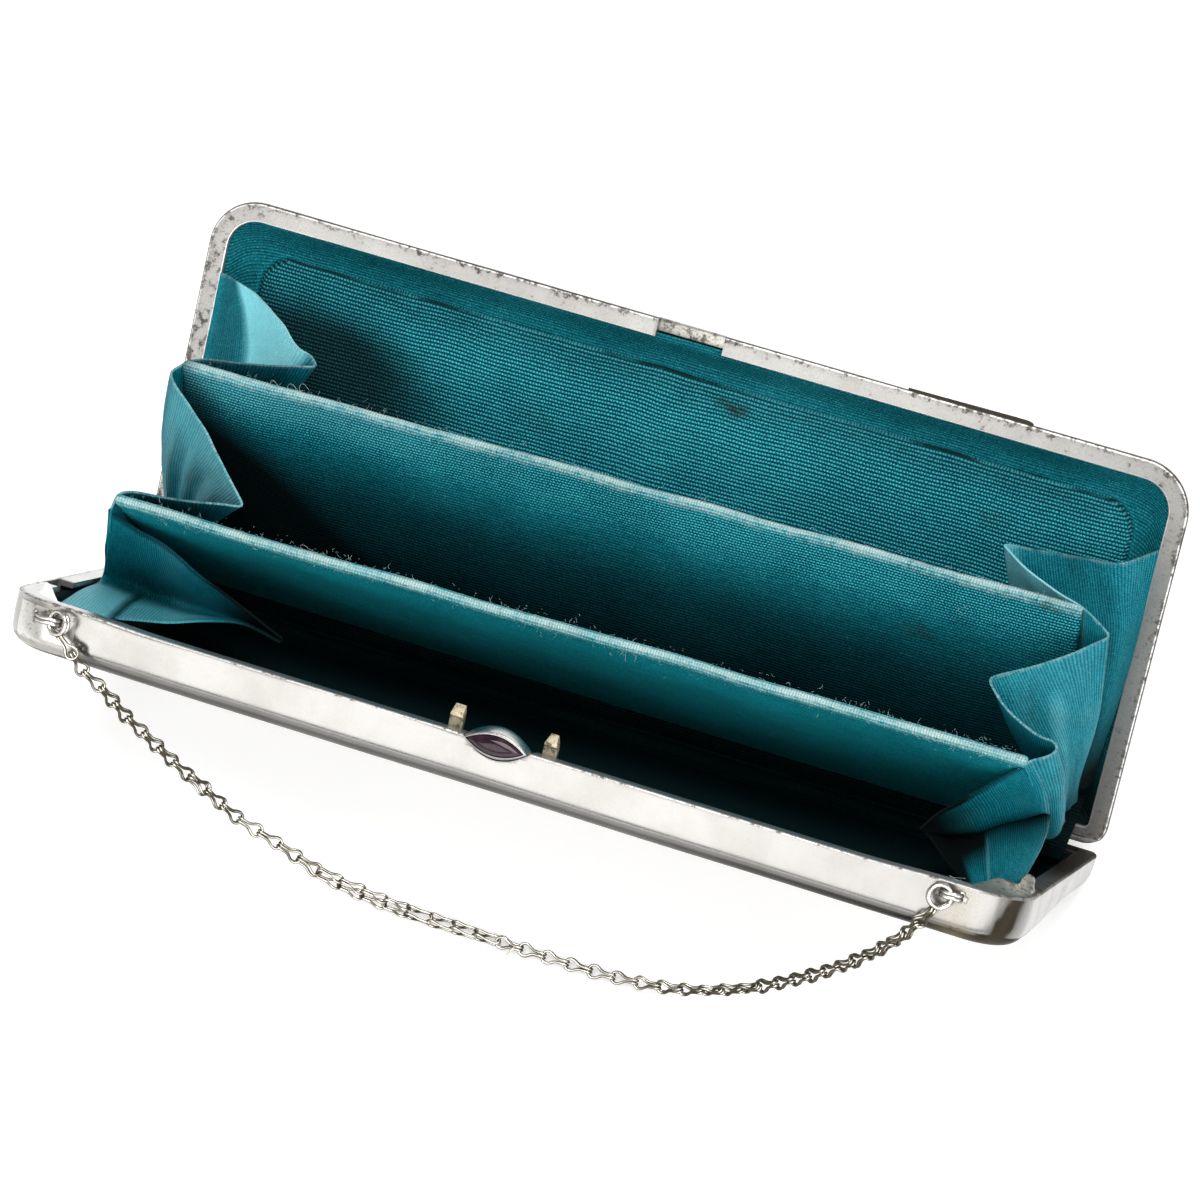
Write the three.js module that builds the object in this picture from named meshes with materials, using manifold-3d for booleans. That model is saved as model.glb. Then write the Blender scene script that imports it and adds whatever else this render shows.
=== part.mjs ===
// A hinged silver purse, open in a V and standing on its hinge edge, with a silk
// lining, two stiff silk dividers, bellows gussets, a push clasp with a navette
// stone, and a fine carrying chain that hangs in front and lies on the surface.
// Millimetres, +Z up, X along the hinge, the front half towards -Y.
import * as THREE from "three";
import { mergeVertices } from "three/addons/utils/BufferGeometryUtils.js";
import Module from "manifold-3d";

const wasm = await Module();
wasm.setup();

// ---- driving dimensions ----------------------------------------------------
const LENGTH = 165; // along the hinge
const REACH = 62.9; // from the hinge axis to the opening edge of a half
const DEPTH = 7.2; // depth of each half
const HALF_ANGLE = 41.44; // each half leans this far from upright, degrees
const CORNER_OPEN = 8.2; // plan radius of the corners at the opening edge
const CORNER_HINGE = 4; // plan radius of the corners at the hinge
const FLANGE_WIDTH = 3.2; // flat rim seen when open
const FLANGE_THICK = 0.9;
const GAP = 0.35; // clearance between separate pieces

const KNUCKLE_RADIUS = 1.3;
const KNUCKLE_BORE = 0.95;
const PIN_RADIUS = 0.6;
const HINGE_RUN = 140; // length of the hinge
const KNUCKLES = 5;

const CLASP_X = -0.8; // the clasp sits a little left of the middle
const BEZEL_HALF_LENGTH = 6;
const BEZEL_HALF_HEIGHT = 2.5;
const BEZEL_Z = -0.9; // height of the bezel's middle against the rim
const BEZEL_PROUD = 0.9;
const STONE_HALF_LENGTH = 5.1;
const STONE_HALF_HEIGHT = 1.6;
const STONE_DOME = 1.3;
const HOOK_SPAN = 15.3;
const HOOK_WIDTH = 1.8;
const HOOK_RISE = 4.2;
const PRESS_TRAVEL = 1; // how far the thumb piece can be pushed in

const CATCH_WIDTH = 12.4; // recess in the lid's rim for the clasp
const CATCH_X = -1.3;

const CORNER_PLATE_FRONT = 11; // legs of the triangular plates in the front corners
const CORNER_PLATE_END = 16;

const PLAQUE = { x: 45.5, length: 20, width: 14, from_edge: 1.6, proud: 1.5 };

const LUG_X = { left: -73.4, right: 71.2 };
const LUG_DEPTH = 2.8; // below the rim on the front wall
const LUG_RADIUS = 1.5;
const LUG_WIRE = 0.45;
const RING_RADIUS = 2;
const RING_WIRE = 0.5;

const CHAIN_DIAMETER = 2.2;
const CHAIN_STEPS = 72;

const PANEL_THICK = 1.6;
const PANEL_FOOT = 6; // the dividers start this far from the hinge axis
const SILK_THICK = 1; // gusset walls
const GUSSET_FOOT = 14;

// Outer wall of a half: how far it draws in at each depth below the rim.
const WALL = [
  { depth: 0, inset: 0.15 },
  { depth: 0.4, inset: 0 },
  { depth: 2.6, inset: 0.2 },
  { depth: 4.4, inset: 0.65 },
  { depth: 5.7, inset: 1.5 },
  { depth: 6.6, inset: 2.7 },
  { depth: 7.05, inset: 4.1 },
  { depth: DEPTH, inset: 5.6 },
];
// Hollow of a half, under the rim flange.
const HOLLOW = [
  { depth: -1, inset: FLANGE_WIDTH },
  { depth: FLANGE_THICK, inset: FLANGE_WIDTH },
  { depth: FLANGE_THICK, inset: 1.1 },
  { depth: 4.2, inset: 1.6 },
  { depth: 5.4, inset: 2.9 },
  { depth: 6.2, inset: 5.2 },
];
// Silk lining: a shallow dish from the flange's inner edge to a flat floor, by
// its upper face and its under face.
const LINING = [
  { depth: 0.2, inset: 4.5, under_depth: 0.2, under_inset: 3.6 },
  { depth: 1.9, inset: 4.6, under_depth: 2.1, under_inset: 3.6 },
  { depth: 3.3, inset: 5.6, under_depth: 3.9, under_inset: 4.7 },
  { depth: 4.2, inset: 7.6, under_depth: 5.1, under_inset: 7 },
  { depth: 4.6, inset: 9.8, under_depth: 5.5, under_inset: 9.6 },
];
const LINING_TOP = { base: 1.3, lid: 0.2 }; // the front half's lies under the corner plates
// Stiff dividers, turned up from the front half's rim plane about the hinge.
const PANELS = [
  { name: "panel_front", left_x: -72.2, right_x: 74.4, left_deg: 18, right_deg: 20.6, reach: 52 },
  { name: "panel_rear", left_x: -72.4, right_x: 74, left_deg: 46, right_deg: 50.6, reach: 52.4 },
];
// Folds of the bellows from the front half to the lid. x is the place of the
// fold at its top edge, foot_x at the hinge end, reach its distance from the hinge.
const FOLDS = {
  gusset_left: [
    { fold: "front_edge", deg: 2.5, x: -76.8, foot_x: -77.2, reach: 51 },
    { fold: "front_tip", deg: 6.5, x: -54, foot_x: -74.8, reach: 47 },
    { fold: "front_panel", deg: 18, x: -76.6, foot_x: -77.2, reach: 51 },
    { fold: "middle_tip", deg: 28, x: -56, foot_x: -74.8, reach: 46 },
    { fold: "rear_panel", deg: 46, x: -76.6, foot_x: -77.2, reach: 50 },
    { fold: "rear_tip", deg: 60, x: -55, foot_x: -74.8, reach: 48 },
    { fold: "lid_edge", deg: 79.5, x: -77.2, foot_x: -77.4, reach: 50 },
  ],
  gusset_right: [
    { fold: "front_edge", deg: 2.5, x: 77, foot_x: 77.4, reach: 50 },
    { fold: "front_tip", deg: 7.5, x: 61, foot_x: 75.8, reach: 46 },
    { fold: "front_panel", deg: 21.6, x: 78.8, foot_x: 78, reach: 51.5 },
    { fold: "middle_tip", deg: 35, x: 63.6, foot_x: 75.8, reach: 48 },
    { fold: "rear_panel", deg: 50.2, x: 78.8, foot_x: 78, reach: 50 },
    { fold: "rear_tip", deg: 66, x: 57.6, foot_x: 75.8, reach: 48.5 },
    { fold: "lid_edge", deg: 79.5, x: 77.4, foot_x: 77.6, reach: 49.5 },
  ],
};
// The chain's route from one ring to the other: down to the surface and up again.
const CHAIN_ROUTE = [
  { x: -72.5, y: -48.1, z: 45.1 },
  { x: -71, y: -48.5, z: 43.2 },
  { x: -65.6, y: -48.3, z: 35.3 },
  { x: -58.4, y: -47.6, z: 26.7 },
  { x: -50.2, y: -47.1, z: 17.8 },
  { x: -40.8, y: -46.9, z: 9.7 },
  { x: -30.2, y: -47, z: 4 },
  { x: -18.6, y: -47.1, z: 1.5 },
  { x: -7, y: -47.2, z: 1.32 },
  { x: 6, y: -47.3, z: 1.32 },
  { x: 18.6, y: -47.1, z: 1.32 },
  { x: 29.6, y: -47, z: 3.8 },
  { x: 40.2, y: -46.9, z: 10.4 },
  { x: 50.4, y: -47.1, z: 20 },
  { x: 59, y: -47.6, z: 30.3 },
  { x: 65.6, y: -48.3, z: 38.7 },
  { x: 69, y: -48.5, z: 43.5 },
  { x: 70.4, y: -48.1, z: 45.2 },
];

// ---- geometry helpers ------------------------------------------------------
const rad = THREE.MathUtils.degToRad;
const lerp = THREE.MathUtils.lerp;

// A closed surface from points and triangles, turned to face outwards.
function closedGeometry(points, triangles) {
  let volume = 0;
  for (const [a, b, c] of triangles)
    volume += points[a].dot(new THREE.Vector3().crossVectors(points[b], points[c]));
  const index = triangles.flatMap(([a, b, c]) => (volume > 0 ? [a, b, c] : [a, c, b]));
  return new THREE.BufferGeometry().setFromPoints(points).setIndex(index);
}

function toSolid(geometry) {
  const bare = new THREE.BufferGeometry().setAttribute("position", geometry.getAttribute("position"));
  if (geometry.index) bare.setIndex(geometry.index);
  const merged = mergeVertices(bare, 1e-4);
  return new wasm.Manifold(
    new wasm.Mesh({
      numProp: 3,
      vertProperties: new Float32Array(merged.getAttribute("position").array),
      triVerts: new Uint32Array(merged.index.array),
    }),
  );
}

function toGeometry(solid) {
  const mesh = solid.getMesh();
  return new THREE.BufferGeometry()
    .setAttribute("position", new THREE.BufferAttribute(mesh.vertProperties, 3))
    .setIndex(new THREE.BufferAttribute(mesh.triVerts, 1));
}

// Plan outline of a half drawn in by an inset: hinge edge at y = 0, opening edge
// at y = side * REACH.
function outline(inset, side, steps = 7) {
  const half = LENGTH / 2 - inset;
  const near = inset;
  const far = REACH - inset;
  const rFar = Math.max(CORNER_OPEN - inset, 0.8);
  const rNear = Math.max(CORNER_HINGE - inset, 0.8);
  const corners = [
    { x: half - rNear, y: near + rNear, r: rNear, start: -90 },
    { x: half - rFar, y: far - rFar, r: rFar, start: 0 },
    { x: -half + rFar, y: far - rFar, r: rFar, start: 90 },
    { x: -half + rNear, y: near + rNear, r: rNear, start: 180 },
  ];
  return corners.flatMap(({ x, y, r, start }) =>
    Array.from({ length: steps }, (_, k) => {
      const a = rad(start + (90 * k) / (steps - 1));
      return new THREE.Vector2(x + r * Math.cos(a), side * (y + r * Math.sin(a)));
    }),
  );
}

// A loft through plan outlines, closed at both ends.
function loft(rings) {
  const n = rings[0].length;
  const points = rings.flat();
  const triangles = [];
  for (let k = 0; k + 1 < rings.length; k++)
    for (let i = 0; i < n; i++) {
      const a = k * n + i;
      const b = k * n + ((i + 1) % n);
      triangles.push([a, b, b + n], [a, b + n, a + n]);
    }
  for (const [k, flip] of [[0, true], [rings.length - 1, false]]) {
    const middle = points.length;
    points.push(rings[k].reduce((s, p) => s.add(p), new THREE.Vector3()).divideScalar(n));
    for (let i = 0; i < n; i++) {
      const a = k * n + i;
      const b = k * n + ((i + 1) % n);
      triangles.push(flip ? [b, a, middle] : [a, b, middle]);
    }
  }
  return closedGeometry(points, triangles);
}

function dishRing({ depth, inset }, side) {
  return outline(inset, side).map((p) => new THREE.Vector3(p.x, p.y, -depth));
}

// A sheet of even thickness around a grid of points.
function sheet(pointAt, across, along, thickness) {
  const grid = Array.from({ length: across + 1 }, (_, i) =>
    Array.from({ length: along + 1 }, (_, j) => pointAt(i / across, j / along)),
  );
  const normalAt = (i, j) => {
    const du = grid[Math.min(i + 1, across)][j].clone().sub(grid[Math.max(i - 1, 0)][j]);
    const dv = grid[i][Math.min(j + 1, along)].clone().sub(grid[i][Math.max(j - 1, 0)]);
    return du.cross(dv).normalize();
  };
  const points = [];
  for (const side of [0.5, -0.5])
    for (let i = 0; i <= across; i++)
      for (let j = 0; j <= along; j++)
        points.push(grid[i][j].clone().addScaledVector(normalAt(i, j), side * thickness));
  const rows = along + 1;
  const layer = (across + 1) * rows;
  const at = (i, j, k) => k * layer + i * rows + j;
  const triangles = [];
  const quad = (a, b, c, d) => triangles.push([a, b, c], [a, c, d]);
  for (let i = 0; i < across; i++)
    for (let j = 0; j < along; j++) {
      quad(at(i, j, 0), at(i + 1, j, 0), at(i + 1, j + 1, 0), at(i, j + 1, 0));
      quad(at(i, j, 1), at(i, j + 1, 1), at(i + 1, j + 1, 1), at(i + 1, j, 1));
    }
  for (let i = 0; i < across; i++) {
    quad(at(i, 0, 0), at(i, 0, 1), at(i + 1, 0, 1), at(i + 1, 0, 0));
    quad(at(i, along, 0), at(i + 1, along, 0), at(i + 1, along, 1), at(i, along, 1));
  }
  for (let j = 0; j < along; j++) {
    quad(at(0, j, 0), at(0, j + 1, 0), at(0, j + 1, 1), at(0, j, 1));
    quad(at(across, j, 0), at(across, j, 1), at(across, j + 1, 1), at(across, j + 1, 0));
  }
  return closedGeometry(points, triangles);
}

// A bar between two corners.
function bar(x0, x1, y0, y1, z0, z1) {
  return new THREE.BoxGeometry(x1 - x0, y1 - y0, z1 - z0).translate(
    (x0 + x1) / 2,
    (y0 + y1) / 2,
    (z0 + z1) / 2,
  );
}

// A round rod on the hinge axis.
function rod(radius, x0, x1) {
  return new THREE.CylinderGeometry(radius, radius, x1 - x0, 16)
    .rotateZ(Math.PI / 2)
    .translate((x0 + x1) / 2, 0, 0);
}

// Pointed oval in the X-Z plane, as a ring of points at a given y.
function navette(halfLength, halfHeight, y, steps = 10) {
  const upper = Array.from({ length: steps }, (_, k) => {
    const s = -1 + (2 * k) / steps;
    return { x: halfLength * s, z: halfHeight * (1 - s * s) };
  });
  const whole = [...upper, ...upper.map(({ x, z }) => ({ x: -x, z: -z }))];
  return whole.map(({ x, z }) => new THREE.Vector3(CLASP_X + x, y, BEZEL_Z + z));
}

const silver = (name, geometry) => {
  geometry.computeVertexNormals();
  const mesh = new THREE.Mesh(
    geometry,
    new THREE.MeshStandardMaterial({ color: 0xd5d3cd, roughness: 0.22, metalness: 1 }),
  );
  mesh.name = name;
  return mesh;
};
const silk = (name, geometry, color = 0x14737f) => {
  geometry.computeVertexNormals();
  const mesh = new THREE.Mesh(
    geometry,
    new THREE.MeshStandardMaterial({ color, roughness: 0.7, metalness: 0 }),
  );
  mesh.name = name;
  return mesh;
};

// ---- the two silver halves -------------------------------------------------
const hingeStart = -HINGE_RUN / 2;
const knuckleRun = HINGE_RUN / KNUCKLES;
const knuckles = Array.from({ length: KNUCKLES }, (_, k) => ({
  from: hingeStart + k * knuckleRun + GAP / 2,
  to: hingeStart + (k + 1) * knuckleRun - GAP / 2,
  onBase: k % 2 === 0,
}));

function half(side, onBase) {
  let shell = toSolid(loft(WALL.map((row) => dishRing(row, side)))).subtract(
    toSolid(loft(HOLLOW.map((row) => dishRing(row, side)))),
  );
  // Room along the hinge for the other half's knuckles, and beyond both ends.
  const room = knuckles
    .filter((k) => k.onBase !== onBase)
    .map((k) => ({ from: k.from - GAP, to: k.to + GAP }));
  if (onBase === false || KNUCKLES % 2 === 1)
    room.push(
      { from: -LENGTH, to: hingeStart - (onBase ? 0 : GAP) },
      { from: -hingeStart + (onBase ? 0 : GAP), to: LENGTH },
    );
  for (const { from, to } of room)
    shell = shell.subtract(toSolid(rod(KNUCKLE_RADIUS + GAP, from, to)));
  for (const { from, to } of knuckles.filter((k) => k.onBase === onBase))
    shell = shell.add(toSolid(rod(KNUCKLE_RADIUS, from, to)));
  return shell.subtract(toSolid(rod(KNUCKLE_BORE, -LENGTH, LENGTH)));
}

// Front half, modelled with its rim plane at z = 0 and its opening edge at -y.
const front = -REACH;
let baseSolid = half(-1, true);
for (const end of [-1, 1]) {
  const x = end * (LENGTH / 2 - 1);
  const corner = new THREE.Shape([
    new THREE.Vector2(x, front + CORNER_PLATE_END),
    new THREE.Vector2(x, front + CORNER_OPEN - 1),
    new THREE.Vector2(x - end * (CORNER_OPEN - 1), front + 1),
    new THREE.Vector2(x - end * CORNER_PLATE_FRONT, front + 1),
  ]);
  baseSolid = baseSolid.add(
    toSolid(
      new THREE.ExtrudeGeometry(corner, { depth: FLANGE_THICK - 0.1, bevelEnabled: false }).translate(
        0,
        0,
        -FLANGE_THICK,
      ),
    ),
  );
}
baseSolid = baseSolid.subtract(
  toSolid(
    loft([
      navette(BEZEL_HALF_LENGTH + 0.55, BEZEL_HALF_HEIGHT + 0.4, front - 1),
      navette(BEZEL_HALF_LENGTH + 0.55, BEZEL_HALF_HEIGHT + 0.4, front + FLANGE_WIDTH + 0.3),
    ]),
  ),
);
const lugY = front - 0.65;
for (const x of Object.values(LUG_X))
  baseSolid = baseSolid.add(
    toSolid(
      new THREE.TorusGeometry(LUG_RADIUS, LUG_WIRE, 8, 20)
        .rotateY(Math.PI / 2)
        .translate(x, lugY, -LUG_DEPTH),
    ).subtract(toSolid(bar(x - 3, x + 3, front + 0.75, front + 4, -LUG_DEPTH - 3, -LUG_DEPTH + 3))),
  );

// Lid, modelled with its rim plane at z = 0 and its opening edge at +y.
let lidSolid = half(1, false).subtract(
  toSolid(
    bar(CATCH_X - CATCH_WIDTH / 2, CATCH_X + CATCH_WIDTH / 2, REACH - 2.3, REACH + 1, -2.2, 1),
  ),
);
const plaqueTop = REACH - PLAQUE.from_edge;
lidSolid = lidSolid.add(
  toSolid(
    bar(
      PLAQUE.x - PLAQUE.length / 2,
      PLAQUE.x + PLAQUE.length / 2,
      plaqueTop - PLAQUE.width,
      plaqueTop,
      -DEPTH - PLAQUE.proud,
      -DEPTH + 0.6,
    ),
  ),
);

// ---- linings ---------------------------------------------------------------
function liningSolid(side, top) {
  const under = LINING.map((row) =>
    dishRing({ depth: Math.max(row.under_depth, top), inset: row.under_inset }, side),
  );
  const upper = LINING.map((row) =>
    dishRing({ depth: Math.max(row.depth, top), inset: row.inset }, side),
  );
  const mouth = dishRing({ depth: -1, inset: LINING[0].inset }, side);
  return toSolid(loft(under)).subtract(toSolid(loft([mouth, ...upper])));
}
const claspRoom = bar(
  CLASP_X - HOOK_SPAN / 2 - 2.2,
  CLASP_X + HOOK_SPAN / 2 + 2.2,
  front + 2,
  front + FLANGE_WIDTH + 2.6 + PRESS_TRAVEL,
  -3.3,
  2,
);
const baseLiningSolid = liningSolid(-1, LINING_TOP.base).subtract(toSolid(claspRoom));
const lidLiningSolid = liningSolid(1, LINING_TOP.lid);

// ---- clasp and stone -------------------------------------------------------
const bezelFace = front - BEZEL_PROUD;
const bezelBack = front + 1.5;
const barNear = front + FLANGE_WIDTH + 0.6;
const barFar = barNear + 1.2;
let claspSolid = toSolid(
  loft([
    navette(BEZEL_HALF_LENGTH, BEZEL_HALF_HEIGHT, bezelFace),
    navette(BEZEL_HALF_LENGTH, BEZEL_HALF_HEIGHT, bezelBack),
  ]),
)
  .subtract(
    toSolid(
      loft([
        navette(STONE_HALF_LENGTH + 0.45, STONE_HALF_HEIGHT + 0.35, bezelFace - 1),
        navette(STONE_HALF_LENGTH + 0.45, STONE_HALF_HEIGHT + 0.35, bezelFace + 0.8),
      ]),
    ),
  )
  .add(toSolid(bar(CLASP_X - 2, CLASP_X + 2, bezelBack - 0.5, barNear + 0.5, -2.7, -1.3)))
  .add(
    toSolid(
      bar(
        CLASP_X - HOOK_SPAN / 2 - HOOK_WIDTH / 2,
        CLASP_X + HOOK_SPAN / 2 + HOOK_WIDTH / 2,
        barNear,
        barFar,
        -2.7,
        -1.3,
      ),
    ),
  );
for (const end of [-1, 1]) {
  const x = CLASP_X + (end * HOOK_SPAN) / 2;
  const hook = new THREE.Shape([
    new THREE.Vector2(barNear, -2),
    new THREE.Vector2(barFar, -2),
    new THREE.Vector2(barFar, HOOK_RISE - 0.7),
    new THREE.Vector2(barFar - 0.5, HOOK_RISE),
    new THREE.Vector2(barNear - 0.5, HOOK_RISE - 0.6),
    new THREE.Vector2(barNear - 0.5, HOOK_RISE - 1.5),
    new THREE.Vector2(barNear, HOOK_RISE - 1.9),
  ]);
  // The hook's outline lies in Y-Z and is extruded along X.
  const geometry = new THREE.ExtrudeGeometry(hook, { depth: HOOK_WIDTH, bevelEnabled: false });
  geometry.applyMatrix4(
    new THREE.Matrix4().makeBasis(
      new THREE.Vector3(0, 1, 0),
      new THREE.Vector3(0, 0, 1),
      new THREE.Vector3(1, 0, 0),
    ),
  );
  claspSolid = claspSolid.add(toSolid(geometry.translate(x - HOOK_WIDTH / 2, 0, 0)));
}
const stoneSeat = bezelFace + 0.8 - GAP;
const DOME = [
  { rise: 0, share: 1 },
  { rise: 0.45, share: 0.97 },
  { rise: 0.75, share: 0.83 },
  { rise: 0.93, share: 0.58 },
  { rise: 1, share: 0.22 },
];
const stone = loft(
  DOME.map(({ rise, share }) =>
    navette(STONE_HALF_LENGTH * share, STONE_HALF_HEIGHT * share, stoneSeat - rise * STONE_DOME),
  ),
);

// ---- dividers and gussets, about the hinge axis ---------------------------
// A point at a distance from the hinge on a leaf turned up from the front half.
function onLeaf(x, reach, deg) {
  const a = rad(90 + HALF_ANGLE - deg);
  return new THREE.Vector3(x, reach * Math.cos(a), reach * Math.sin(a));
}
const panels = PANELS.map((p) =>
  silk(
    p.name,
    sheet(
      (s, t) =>
        onLeaf(
          lerp(p.left_x, p.right_x, s),
          lerp(PANEL_FOOT, p.reach, t),
          lerp(p.left_deg, p.right_deg, s),
        ),
      8,
      3,
      PANEL_THICK,
    ),
  ),
);
const SEGMENTS = 4; // between one fold and the next
const gussets = Object.entries(FOLDS).map(([name, folds]) => {
  const spans = folds.length - 1;
  return silk(
    name,
    sheet(
      (s, t) => {
        const k = Math.min(Math.floor(s * spans + 1e-9), spans - 1);
        const f = s * spans - k;
        const [a, b] = [folds[k], folds[k + 1]].map((row) =>
          onLeaf(
            lerp(row.foot_x, row.x, t),
            lerp(GUSSET_FOOT, row.reach, t),
            row.deg,
          ),
        );
        return a.lerp(b, f);
      },
      spans * SEGMENTS,
      5,
      SILK_THICK,
    ),
    0x1a8090,
  );
});

// ---- rings and chain -------------------------------------------------------
const rings = Object.entries(LUG_X).map(([side, x]) =>
  silver(
    "ring_" + side,
    new THREE.TorusGeometry(RING_RADIUS, RING_WIRE, 8, 24)
      .rotateX(Math.PI / 2)
      .translate(x, lugY - 0.1, -LUG_DEPTH - RING_RADIUS + 0.2),
  ),
);
const section = new THREE.Shape(
  Array.from({ length: 8 }, (_, k) => {
    const a = rad(22.5 + 45 * k);
    return new THREE.Vector2(Math.cos(a), Math.sin(a)).multiplyScalar(CHAIN_DIAMETER / 2);
  }),
);
const route = new THREE.CatmullRomCurve3(CHAIN_ROUTE.map(({ x, y, z }) => new THREE.Vector3(x, y, z)));
const chain = silver(
  "chain",
  new THREE.ExtrudeGeometry(section, {
    steps: CHAIN_STEPS,
    extrudePath: route,
    bevelEnabled: false,
  }),
);

// ---- assembly --------------------------------------------------------------
const lean = rad(90 - HALF_ANGLE);
// The purse stands on the rounded back edges of both halves.
const hingeHeight = Math.max(
  ...WALL.map(({ depth, inset }) => depth * Math.cos(lean) - inset * Math.sin(lean)),
);

const baseGroup = new THREE.Group();
baseGroup.rotation.x = -lean;
const stoneMesh = silver("cabochon", stone);
stoneMesh.material = new THREE.MeshStandardMaterial({ color: 0x3a1d3a, roughness: 0.12, metalness: 0 });
baseGroup.add(
  silver("base_shell", toGeometry(baseSolid)),
  silk("base_lining", toGeometry(baseLiningSolid)),
  silver("clasp", toGeometry(claspSolid)),
  stoneMesh,
  ...rings,
);
const lidGroup = new THREE.Group();
lidGroup.rotation.x = lean;
lidGroup.add(
  silver("lid_shell", toGeometry(lidSolid)),
  silk("lid_lining", toGeometry(lidLiningSolid)),
);
const hingeGroup = new THREE.Group();
hingeGroup.add(
  silver("hinge_pin", rod(PIN_RADIUS, hingeStart - 0.4, -hingeStart + 0.4)),
  baseGroup,
  lidGroup,
  ...panels,
  ...gussets,
);
hingeGroup.position.z = hingeHeight;

// The origin is under the middle of the whole purse, on the surface it stands on.
const standing = new THREE.Group();
standing.add(hingeGroup, chain);
standing.updateMatrixWorld(true);
const extent = new THREE.Box3().setFromObject(standing, true);
standing.position.set(
  -(extent.min.x + extent.max.x) / 2,
  -(extent.min.y + extent.max.y) / 2,
  -extent.min.z,
);

const purse = new THREE.Group();
purse.add(standing);
export default purse;
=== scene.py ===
# A silver purse lined with ribbed teal silk, open in a V and standing on its hinge,
# with two silk dividers, folded silk gussets, a push clasp with a purple navette
# stone and a fine loop-in-loop chain. All tables are in millimetres.
import math

import bmesh
import bpy
import numpy as np
from mathutils import Matrix, Vector
from mathutils.kdtree import KDTree


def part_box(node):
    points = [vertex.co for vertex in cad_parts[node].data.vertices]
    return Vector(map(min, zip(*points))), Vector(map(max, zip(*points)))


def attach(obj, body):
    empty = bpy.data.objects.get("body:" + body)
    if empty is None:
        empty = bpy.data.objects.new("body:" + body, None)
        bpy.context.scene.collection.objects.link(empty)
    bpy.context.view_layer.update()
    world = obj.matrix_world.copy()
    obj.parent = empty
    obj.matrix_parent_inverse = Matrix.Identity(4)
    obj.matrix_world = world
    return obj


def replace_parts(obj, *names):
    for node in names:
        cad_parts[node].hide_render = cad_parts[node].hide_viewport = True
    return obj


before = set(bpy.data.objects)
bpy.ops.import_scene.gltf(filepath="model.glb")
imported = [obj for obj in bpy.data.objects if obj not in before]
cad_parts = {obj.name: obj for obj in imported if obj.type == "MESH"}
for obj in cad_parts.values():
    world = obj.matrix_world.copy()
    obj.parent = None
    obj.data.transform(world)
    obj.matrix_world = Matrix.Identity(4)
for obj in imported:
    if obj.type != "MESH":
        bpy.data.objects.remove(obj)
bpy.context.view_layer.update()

MM = 0.001
rng = np.random.default_rng(20)

# ---- sizes of the CAD model ---------------------------------------------------
LENGTH, REACH, DEPTH = 165.0, 62.9, 7.2
HALF_ANGLE = 41.44
CORNER_OPEN, CORNER_HINGE = 8.2, 4.0
FLANGE = 3.2
FRONT = -REACH
GAP = 0.35
KNUCKLE_RADIUS, KNUCKLE_BORE, HINGE_RUN, KNUCKLES = 1.3, 0.95, 140.0, 5
CLASP_X, BEZEL_Z = -0.8, -0.9
BEZEL_A, BEZEL_C = 6.0, 2.5
STONE_A, STONE_C, STONE_DOME = 5.1, 1.6, 1.3
HOOK_SPAN, HOOK_WIDTH, HOOK_RISE = 15.3, 1.8, 4.2
CATCH_X, CATCH_WIDTH = -1.3, 12.4
LUG_X = {"left": -73.4, "right": 71.2}
LUG_DEPTH = 2.8
WALL = [(0.5, 0.0), (2.6, 0.2), (4.4, 0.65), (5.7, 1.5), (6.6, 2.7), (7.05, 4.1), (7.2, 5.6)]
WALL_FRONT = [(0.5, 0.0), (2.6, 0.05), (5.0, 0.2), (6.4, 0.5), (7.3, 1.15), (8.0, 2.2), (8.4, 3.6), (8.55, 5.6)]

pin_low, pin_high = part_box("hinge_pin")
HINGE_Y = 500 * (pin_low[1] + pin_high[1])
HINGE_Z = 500 * (pin_low[2] + pin_high[2])
LEAN = math.radians(90 - HALF_ANGLE)
COS, SIN = math.cos(LEAN), math.sin(LEAN)


def on_base(p):
    p = np.atleast_2d(np.asarray(p, float))
    return np.stack([p[:, 0], HINGE_Y + p[:, 1] * COS + p[:, 2] * SIN, HINGE_Z - p[:, 1] * SIN + p[:, 2] * COS], 1)


def on_lid(p):
    p = np.atleast_2d(np.asarray(p, float))
    return np.stack([p[:, 0], HINGE_Y + p[:, 1] * COS - p[:, 2] * SIN, HINGE_Z + p[:, 1] * SIN + p[:, 2] * COS], 1)


def on_leaf(u, r, deg):
    """A point r from the hinge on a plane turned deg up from the front half's rim."""
    a = np.radians(90 + HALF_ANGLE - np.asarray(deg, float))
    u, r = np.asarray(u, float), np.asarray(r, float)
    return np.stack(np.broadcast_arrays(u, HINGE_Y + r * np.cos(a), HINGE_Z + r * np.sin(a)), -1)


# ---- mesh helpers -------------------------------------------------------------
def smoothstep(a, b, x):
    t = np.clip((np.asarray(x, float) - a) / (b - a), 0, 1)
    return t * t * (3 - 2 * t)


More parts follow.
